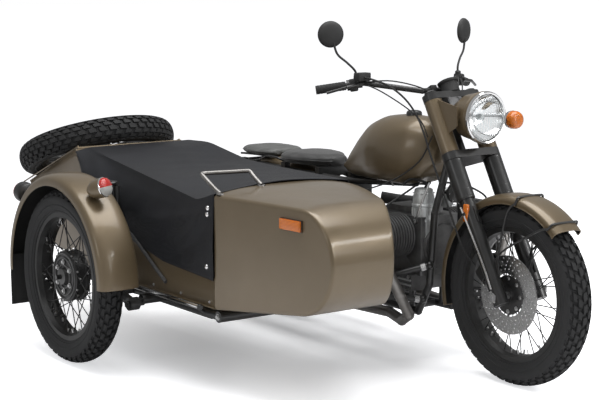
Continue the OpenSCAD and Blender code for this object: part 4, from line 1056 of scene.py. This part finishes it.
# ---- engine ----
def engine_details():
    kit = Kit()
    for s in (-1, 1):
        for i in range(15):
            x = s * (120 + i * 12.6)
            place = toward((x, CYLINDER_Y, CYLINDER_Z), (s, 0, 0))
            kit.lathe([[50, -1.6], [86, -1.2], [87, 0], [86, 1.2], [50, 1.6]], place, DULL, sides=40)
        for dy in (-50, 50):
            for dz in (-50, 50):
                y, z = CYLINDER_Y + dy, CYLINDER_Z + dz
                kit.bar([(s * 104, y, z), (s * 300, y, z)], 10, STEEL, sides=8)
        for dy, dz in ((-66, 0), (66, 0), (0, 38), (0, -38)):
            x = s * 389.5 if dy == 0 else s * 378
            kit.bolt((x, CYLINDER_Y + dz, CYLINDER_Z + dy), (s, 0, 0), 11, 7, STEEL)
    for t in turns(8):
        kit.bolt((78 * math.cos(t), 443.5, 460 + 78 * math.sin(t)), (0, -1, 0), 9, 6, STEEL)
    kit.lathe([[0, 12], [22, 12], [30, 9], [44, 6], [48, 0]], toward((0, 439, 460), (0, -1, 0)), DULL,
        sides=48)
    for z in (310, 330):
        kit.box((-136, 462, z), (136, 708, z + 8), ALLOY, 2)
    for s in (-1, 1):
        for y in (480, 560, 640, 690):
            kit.bolt((s * 132, y, 345), (s, 0, 0), 9, 5, STEEL)
            kit.bolt((s * 100, y, 560), (s, 0, 0), 9, 5, STEEL)
    kit.make("engine_fittings", "chassis")
    can = Kit()
    cx, cy = middle("engine_cover")[:2]
    place = Matrix.Translation((cx, cy, 500.5))
    can.lathe([[44, 0], [44.5, 4], [43, 8], [43, 60], [45, 64], [45, 70], [43, 74], [43, 118], [46.5, 121],
        [46.5, 128], [43, 131], [42, 160], [38, 172], [36, 186], [30, 190], [0, 191]], place, PALE, sides=56)
    for t in turns(10):
        can.box((42.5, -2.2, 78), (46.5, 2.2, 116), PALE, 1, place @ Matrix.Rotation(t, 4, "Z"))
        can.bolt(place @ polar(40, t, 170), (0, 0, 1), 6, 4, STEEL)
    can.tube([(cx + 8, cy, 690), (cx + 6, cy - 2, 712), (cx - 30, cy + 40, 724), (cx - 60, 540, 700)], 11,
        RUBBER)
    can.make("canister", "chassis", ["engine_cover"])


def intake_details():
    kit = Kit()
    for s in (-1, 1):
        c = (s * 250, 695, 532)
        place = Matrix.Translation(c)
        kit.lathe([[0, -46], [26, -46], [31, -40], [31, -6], [33, -4], [33, 2], [27, 4], [27, 70], [31, 74],
            [31, 98], [26, 104], [14, 106], [10, 112], [0, 112]], place, PALE, sides=36)
        kit.tube([(s * 250, 722, 562), (s * 226, 790, 572), (s * 150, 870, 580), (s * 90, 930, 590)],
            [44, 46, 46, 50], RUBBER)
        for k in range(5):
            kit.lathe([[22, -3], [25, 0], [22, 3]], toward((s * (246 - k * 5), 728 + k * 12, 563 + k * 2),
                (-s * 0.3, 1, 0.12)), RUBBER, sides=24)
        kit.tube([(s * 250, 690, 640), (s * 240, 660, 668), (s * 150, 560, 720), (s * 90, 470, 800),
            (s * 60, 430, 900)], 6, RUBBER, sides=8)
        kit.tube([(s * 262, 676, 500), (s * 220, 640, 474), (s * 150, 610, 470), (s * 104, 600, 480)], 8,
            RUBBER)
        kit.tube([(s * 300, 500, 590), (s * 250, 470, 640), (s * 140, 470, 690), (s * 60, 520, 700)], 8,
            RUBBER)
    kit.tube([(-100, 470, 560), (-120, 440, 600), (-110, 420, 660), (-80, 420, 720)], 9, STEEL)
    kit.make("intake_and_lines", "chassis")


def sidecar_lamps():
    """Front and rear lamps on the sidecar's fender."""
    kit = Kit()
    lamp = Matrix.Translation((SIDE_X - 18, SIDE_Y - 246, 716)) @ Matrix.Rotation(math.radians(30), 4, "Z")
    lamp = lamp @ Matrix.Rotation(math.radians(74), 4, "X")
    kit.lathe([[0, -36], [12, -34], [24, -24], [33, -10], [37, 4], [38, 26], [38, 34]], lamp, PAINT,
        sides=40)
    kit.lathe([[37.5, 33], [39, 35], [39, 39], [36.5, 40]], lamp, CHROME, sides=40)
    for material, turn in ((RED, 0.0), (CLEAR, math.pi)):
        kit.grid([[lamp @ polar(r, turn + t, h) for r,
            h in [(36.5, 38), (36, 46), (32, 54), (22, 60), (10, 61.8), (0.3, 62)]]
            for t in (math.pi * k / 20 for k in range(21))], material, closed=False)
    kit.tube([(SIDE_X - 18, SIDE_Y - 236, 712), (SIDE_X - 16, SIDE_Y - 216, 692)], 32, PAINT, sides=20,
        smooth=2)
    rear = Matrix.Translation((SIDE_X - 30, SIDE_Y + 330, 640)) @ Matrix.Rotation(-math.pi / 2, 4, "X")
    kit.lathe([[0, -6], [30, -5], [40, 0], [42, 8], [42, 26], [40, 28]], rear, BLACK, sides=40)
    kit.lathe([[40, 26], [39, 36], [30, 42], [16, 43.6], [0, 44]], rear, RED, sides=40)
    kit.bar([(SIDE_X - 30, SIDE_Y + 332, 640), (SIDE_X - 30, SIDE_Y + 306, 640)], 26, BLACK)
    kit.make("sidecar_lamp_set", "chassis", ["sidecar_lamps"])


def tail_lamp():
    """Tail lamp with its bracket and the number plate's holder."""
    tail = Kit()
    y0 = REAR_Y + 350
    tail.box((-43, y0 + 1, 561), (43, y0 + 40, 621), BLACK, 6)
    tail.box((-41, y0 + 38, 563), (41, y0 + 73, 619), RED, 9)
    tail.box((-19, y0 - 44, 500), (19, y0 + 19, 562), BLACK, 4)
    tail.box((-90, y0 + 17.8, 448), (90, y0 + 21.2, 559.5), MATTE, 1.2)
    for s in (-1, 1):
        tail.bolt((s * 70, y0 + 21, 524), (0, 1, 0), 9, 5, STEEL)
    tail.make("tail_lamp", "chassis", ["tail_light"])


def horn_body():
    horn = Kit()
    z1 = middle("horn")[2]
    place = toward((0, 374, z1), (0, -1, 0))
    horn.lathe([[0, 22], [10, 22], [12, 19], [34, 17], [37, 20], [37.8, 10], [36, 2], [20, 0], [16, -24]],
        place, BLACK, sides=40)
    for t in turns(6):
        horn.bolt(place @ polar(32, t, 18), (0, -1, 0), 4, 3, STEEL)
    horn.bar([(-31, 394, z1), (31, 394, z1)], 11, BLACK)
    horn.make("horn_body", "chassis", ["horn"])


def grab_handle():
    rail = Kit()
    rail.tube([(-984, 508, 742), (-987, 540, 757), (-991, 600, 790), (-990, 622, 801), (-972, 623, 803),
        (-900, 600, 804), (-830, 579, 805), (-814, 572, 803), (-811, 552, 788), (-806, 509, 760)], 15.4,
        EXHAUST, sides=14)
    for x, z in ((-984, 741), (-806, 758)):
        rail.lathe([[0, 3], [13, 3], [15, 0], [15, -3]],
            toward((x, 508, z), (0.15 if x < -900 else 0, -0.1, 1)), EXHAUST, sides=24)
    rail.make("grab_handle", "chassis", ["grab_rail"])


def flap_piece():
    flap = Kit()
    rings = []
    for t in spaced(0, 1, 14):
        z = 380 - 208 * t
        y = SIDE_Y + 385.4 + 1.2 * math.sin(5 * t)
        w = 78 - 4 * ease((0.2 - t) * 6)
        rings.append([(SIDE_X - w, y, z), (SIDE_X - w, y + 4.4, z), (SIDE_X + w, y + 4.4, z),
            (SIDE_X + w, y, z)])
    flap.grid(rings, RUBBER)
    for s in (-1, 1):
        for z in (208, 256, 304):
            flap.box((SIDE_X + s * 38 - 26, SIDE_Y + 390, z), (SIDE_X + s * 38 + 26, SIDE_Y + 391.4, z + 26),
                RUBBER, 0.5)
    flap.make("flap", "chassis", ["mud_flap"])


def frame_details():
    """Bolts, rubber mounts, springs and clips on the chassis."""
    kit = Kit()
    for a, b, r, wire, coils in (((-1078, SIDE_Y - 64, 372), (-1062, SIDE_Y - 36, 640), 21, 8, 8),
                                 ((136, REAR_Y - 60, 392), (131, 1338, 632), 25, 9, 10),
                                 ((-136, REAR_Y - 60, 392), (-131, 1338, 632), 25, 9, 10)):
        a, b = Vector(a), Vector(b)
        d = (b - a).normalized()
        side = d.orthogonal().normalized()
        other = d.cross(side)
        path = []
        for t in spaced(0, 1, coils * 14):
            turn = coils * 2 * math.pi * t
            path.append(a + (b - a) * t + r * (math.cos(turn) * side + math.sin(turn) * other))
        kit.bar(path, wire, BLACK, sides=8)
        kit.bar([a, a + 0.45 * (b - a)], r * 1.45, MATTE, sides=20)
        kit.bar([a + 0.4 * (b - a), b], r * 0.6, STEEL, sides=14)
        kit.lathe([[0, -4], [r + 5, -4], [r + 5, 2], [0, 3]], toward(a, d), MATTE, sides=28)
        kit.lathe([[0, -2], [r + 5, -2], [r + 5, 4], [0, 4]], toward(b, d), MATTE, sides=28)
        for p in (a - 22 * d, b + 16 * d):
            kit.lathe([[8, -13], [16, -13], [16, 13], [8, 13]], toward(p, (1, 0, 0)), MATTE, sides=24,
                closed=True)
            kit.bolt(p + Vector((13 if p.x > 0 else -13, 0, 0)), (1 if p.x > 0 else -1, 0, 0), 14, 8, STEEL)
    kit.make("springs", "chassis", ["rear_shocks", "sidecar_shock"])
    trim = Kit()
    for y in (600, 1700):
        for x in (-922, -478):
            trim.lathe([[22, 304], [27, 306], [27, 315], [22, 317]], Matrix.Translation((x, y, 0)), RUBBER,
                sides=28)
    for y in (540, 1720):
        trim.bolt((-977, y, RAIL_Z), (-1, 0, 0), 15, 8, STEEL)
    for p, q in (((-350, 560, RAIL_Z + 4), (-98, 428, 262)), ((-350, 620, RAIL_Z + 20), (-90, 400, 400)),
                 ((-350, 940, RAIL_Z + 22), (-74, 1000, 232)),
                 ((-350, 1560, RAIL_Z + 22), (-116, 1440, 668))):
        p, q = Vector(p), Vector(q)
        d = (q - p).normalized()
        for c in (p + 26 * d, q - 26 * d):
            trim.lathe([[12, -11], [15.5, -9], [15.5, 9], [12, 11]], toward(c, d), STEEL, sides=6)
    trim.tube([(-952, 620, RAIL_Z - 22), (-950, 1100, RAIL_Z - 22), (-1000, 1180, 280), (-1046, 1220, 306)],
        7, RUBBER, sides=8)
    trim.make("chassis_fittings", "chassis")


# ---- stage, camera and light ----
FLOOR_HALF = 60.0
CAMERA_YAW, CAMERA_PITCH = 0.623, 0.145
LENS_MM, SENSOR_MM = 93.6, 36


def floor_paper():
    """Pale paper; the camera also sees it glow, less in an oval round the object: a painted shade pool that
    keeps the shadow dark.
    """
    m, tree, s = node_material("floor_paper")
    fill(tree, s, Base_Color=ramp(tree, noise(tree, 2.0), (0.90, 0.90, 0.915), (0.94, 0.94, 0.95)),
        Roughness=0.9, Specular_IOR_Level=0.1)
    # The glow drops in an oval round the object: painted shade on the floor beneath it.
    shade_oval = add_node(tree, "VectorMath", "MULTIPLY", Vector=object_coords(tree))
    shade_oval.inputs[1].default_value = (1.0, 0.67, 1.0)
    reach = add_node(tree, "VectorMath", "LENGTH", Vector=shade_oval.outputs["Vector"])
    fade = add_node(tree, "MapRange", Value=reach.outputs["Value"], From_Min=0.25, From_Max=0.95,
        To_Min=0.32, To_Max=0.72)
    fade.interpolation_type = "SMOOTHSTEP"
    seen = add_node(tree, "LightPath").outputs["Is Camera Ray"]
    glow = add_node(tree, "Emission", Color=(0.97, 0.98, 1.0, 1),
        Strength=two_in(tree, "Math", "MULTIPLY", seen, fade.outputs["Result"]))
    both = two_in(tree, "AddShader", None, s.outputs["BSDF"], glow.outputs["Emission"])
    fill(tree, tree.nodes["Material Output"], Surface=both)
    return m


def stage():
    mesh = bpy.data.meshes.new("floor")
    corners = [(x * FLOOR_HALF, y * FLOOR_HALF, 0) for x, y in ((-1, -1), (1, -1), (1, 1), (-1, 1))]
    mesh.from_pydata(corners, [], [[0, 1, 2, 3]])
    mesh.materials.append(floor_paper())
    add_object("floor", mesh)
    world = bpy.data.worlds.new("studio")
    bpy.context.scene.world = world
    world.use_nodes = True
    tree = world.node_tree
    path = add_node(tree, "LightPath").outputs
    white = two_in(tree, "Math", "MAXIMUM", path["Is Camera Ray"], path["Is Transmission Ray"])
    level = add_node(tree, "MapRange", Value=white, To_Min=0.37, To_Max=1.0)
    fill(tree, tree.nodes["Background"], Strength=level.outputs["Result"], Color=(1, 1, 1, 1))


def softbox(name, place, target, size, power):
    data = bpy.data.lights.new(name, "AREA")
    data.shape = "RECTANGLE"
    data.size, data.size_y = size
    data.energy = power
    o = add_object(name, data)
    o.location = place
    o.rotation_euler = (Vector(target) - Vector(place)).to_track_quat("-Z", "Y").to_euler()


def lights_and_camera():
    softbox("top", (0.0, -0.4, 4.2), (0, 0, 0.4), (4.2, 3.0), 185)
    softbox("front", (1.4, -5.2, 2.4), (0, -0.3, 0.6), (2.6, 1.8), 42)
    softbox("band", (2.9, -4.6, 3.4), (0, -0.6, 0.56), (3.4, 0.5), 66)
    softbox("left", (-5.2, -1.6, 2.6), (0, 0, 0.5), (1.6, 1.6), 18)
    data = bpy.data.cameras.new("camera")
    camera = add_object("camera", data)
    yaw, pitch = CAMERA_YAW, CAMERA_PITCH
    view = Vector((math.sin(yaw) * math.cos(pitch), math.cos(yaw) * math.cos(pitch), -math.sin(pitch)))
    camera.location = at(-3975.3, -4143.7, 1525.8)
    camera.rotation_euler = view.to_track_quat("-Z", "Y").to_euler()
    data.lens = LENS_MM
    data.sensor_width = SENSOR_MM
    bpy.context.scene.camera = camera
    bpy.context.scene.view_settings.view_transform = "Standard"


finish_nodes([
    (PAINT, "headlight_ears headlight_bucket trunk_lid"),
    (BLACK, "main_frame rear_swingarm sidecar_frame sidecar_struts sidecar_swingarm fork_legs fork_clamps "
            "handlebar foot_controls brake_caliper spare_carrier side_boxes hand_controls"),
    (RIM, "front_rim rear_rim sidecar_rim spare_wheel sidecar_hub"),
    (ALLOY, "final_drive rear_hub carburettors"),
    (EXHAUST, "exhausts"),
    (STEEL, "front_axle"),
    (DULL, "cylinders"),
    (RUBBER, "grips"),
    (MATTE, "instrument"),
])
soften("sidecar_body", "chassis", PAINT, 3.0)
soften("engine_block", "chassis", DULL, 3.0)
wheels()
fenders()
nose()
marker()
body_trim()
tonneau()
tank()
seats()
headlight()
mirrors()
fork_details()
bar_details()
engine_details()
intake_details()
sidecar_lamps()
tail_lamp()
horn_body()
grab_handle()
flap_piece()
frame_details()
stage()
lights_and_camera()
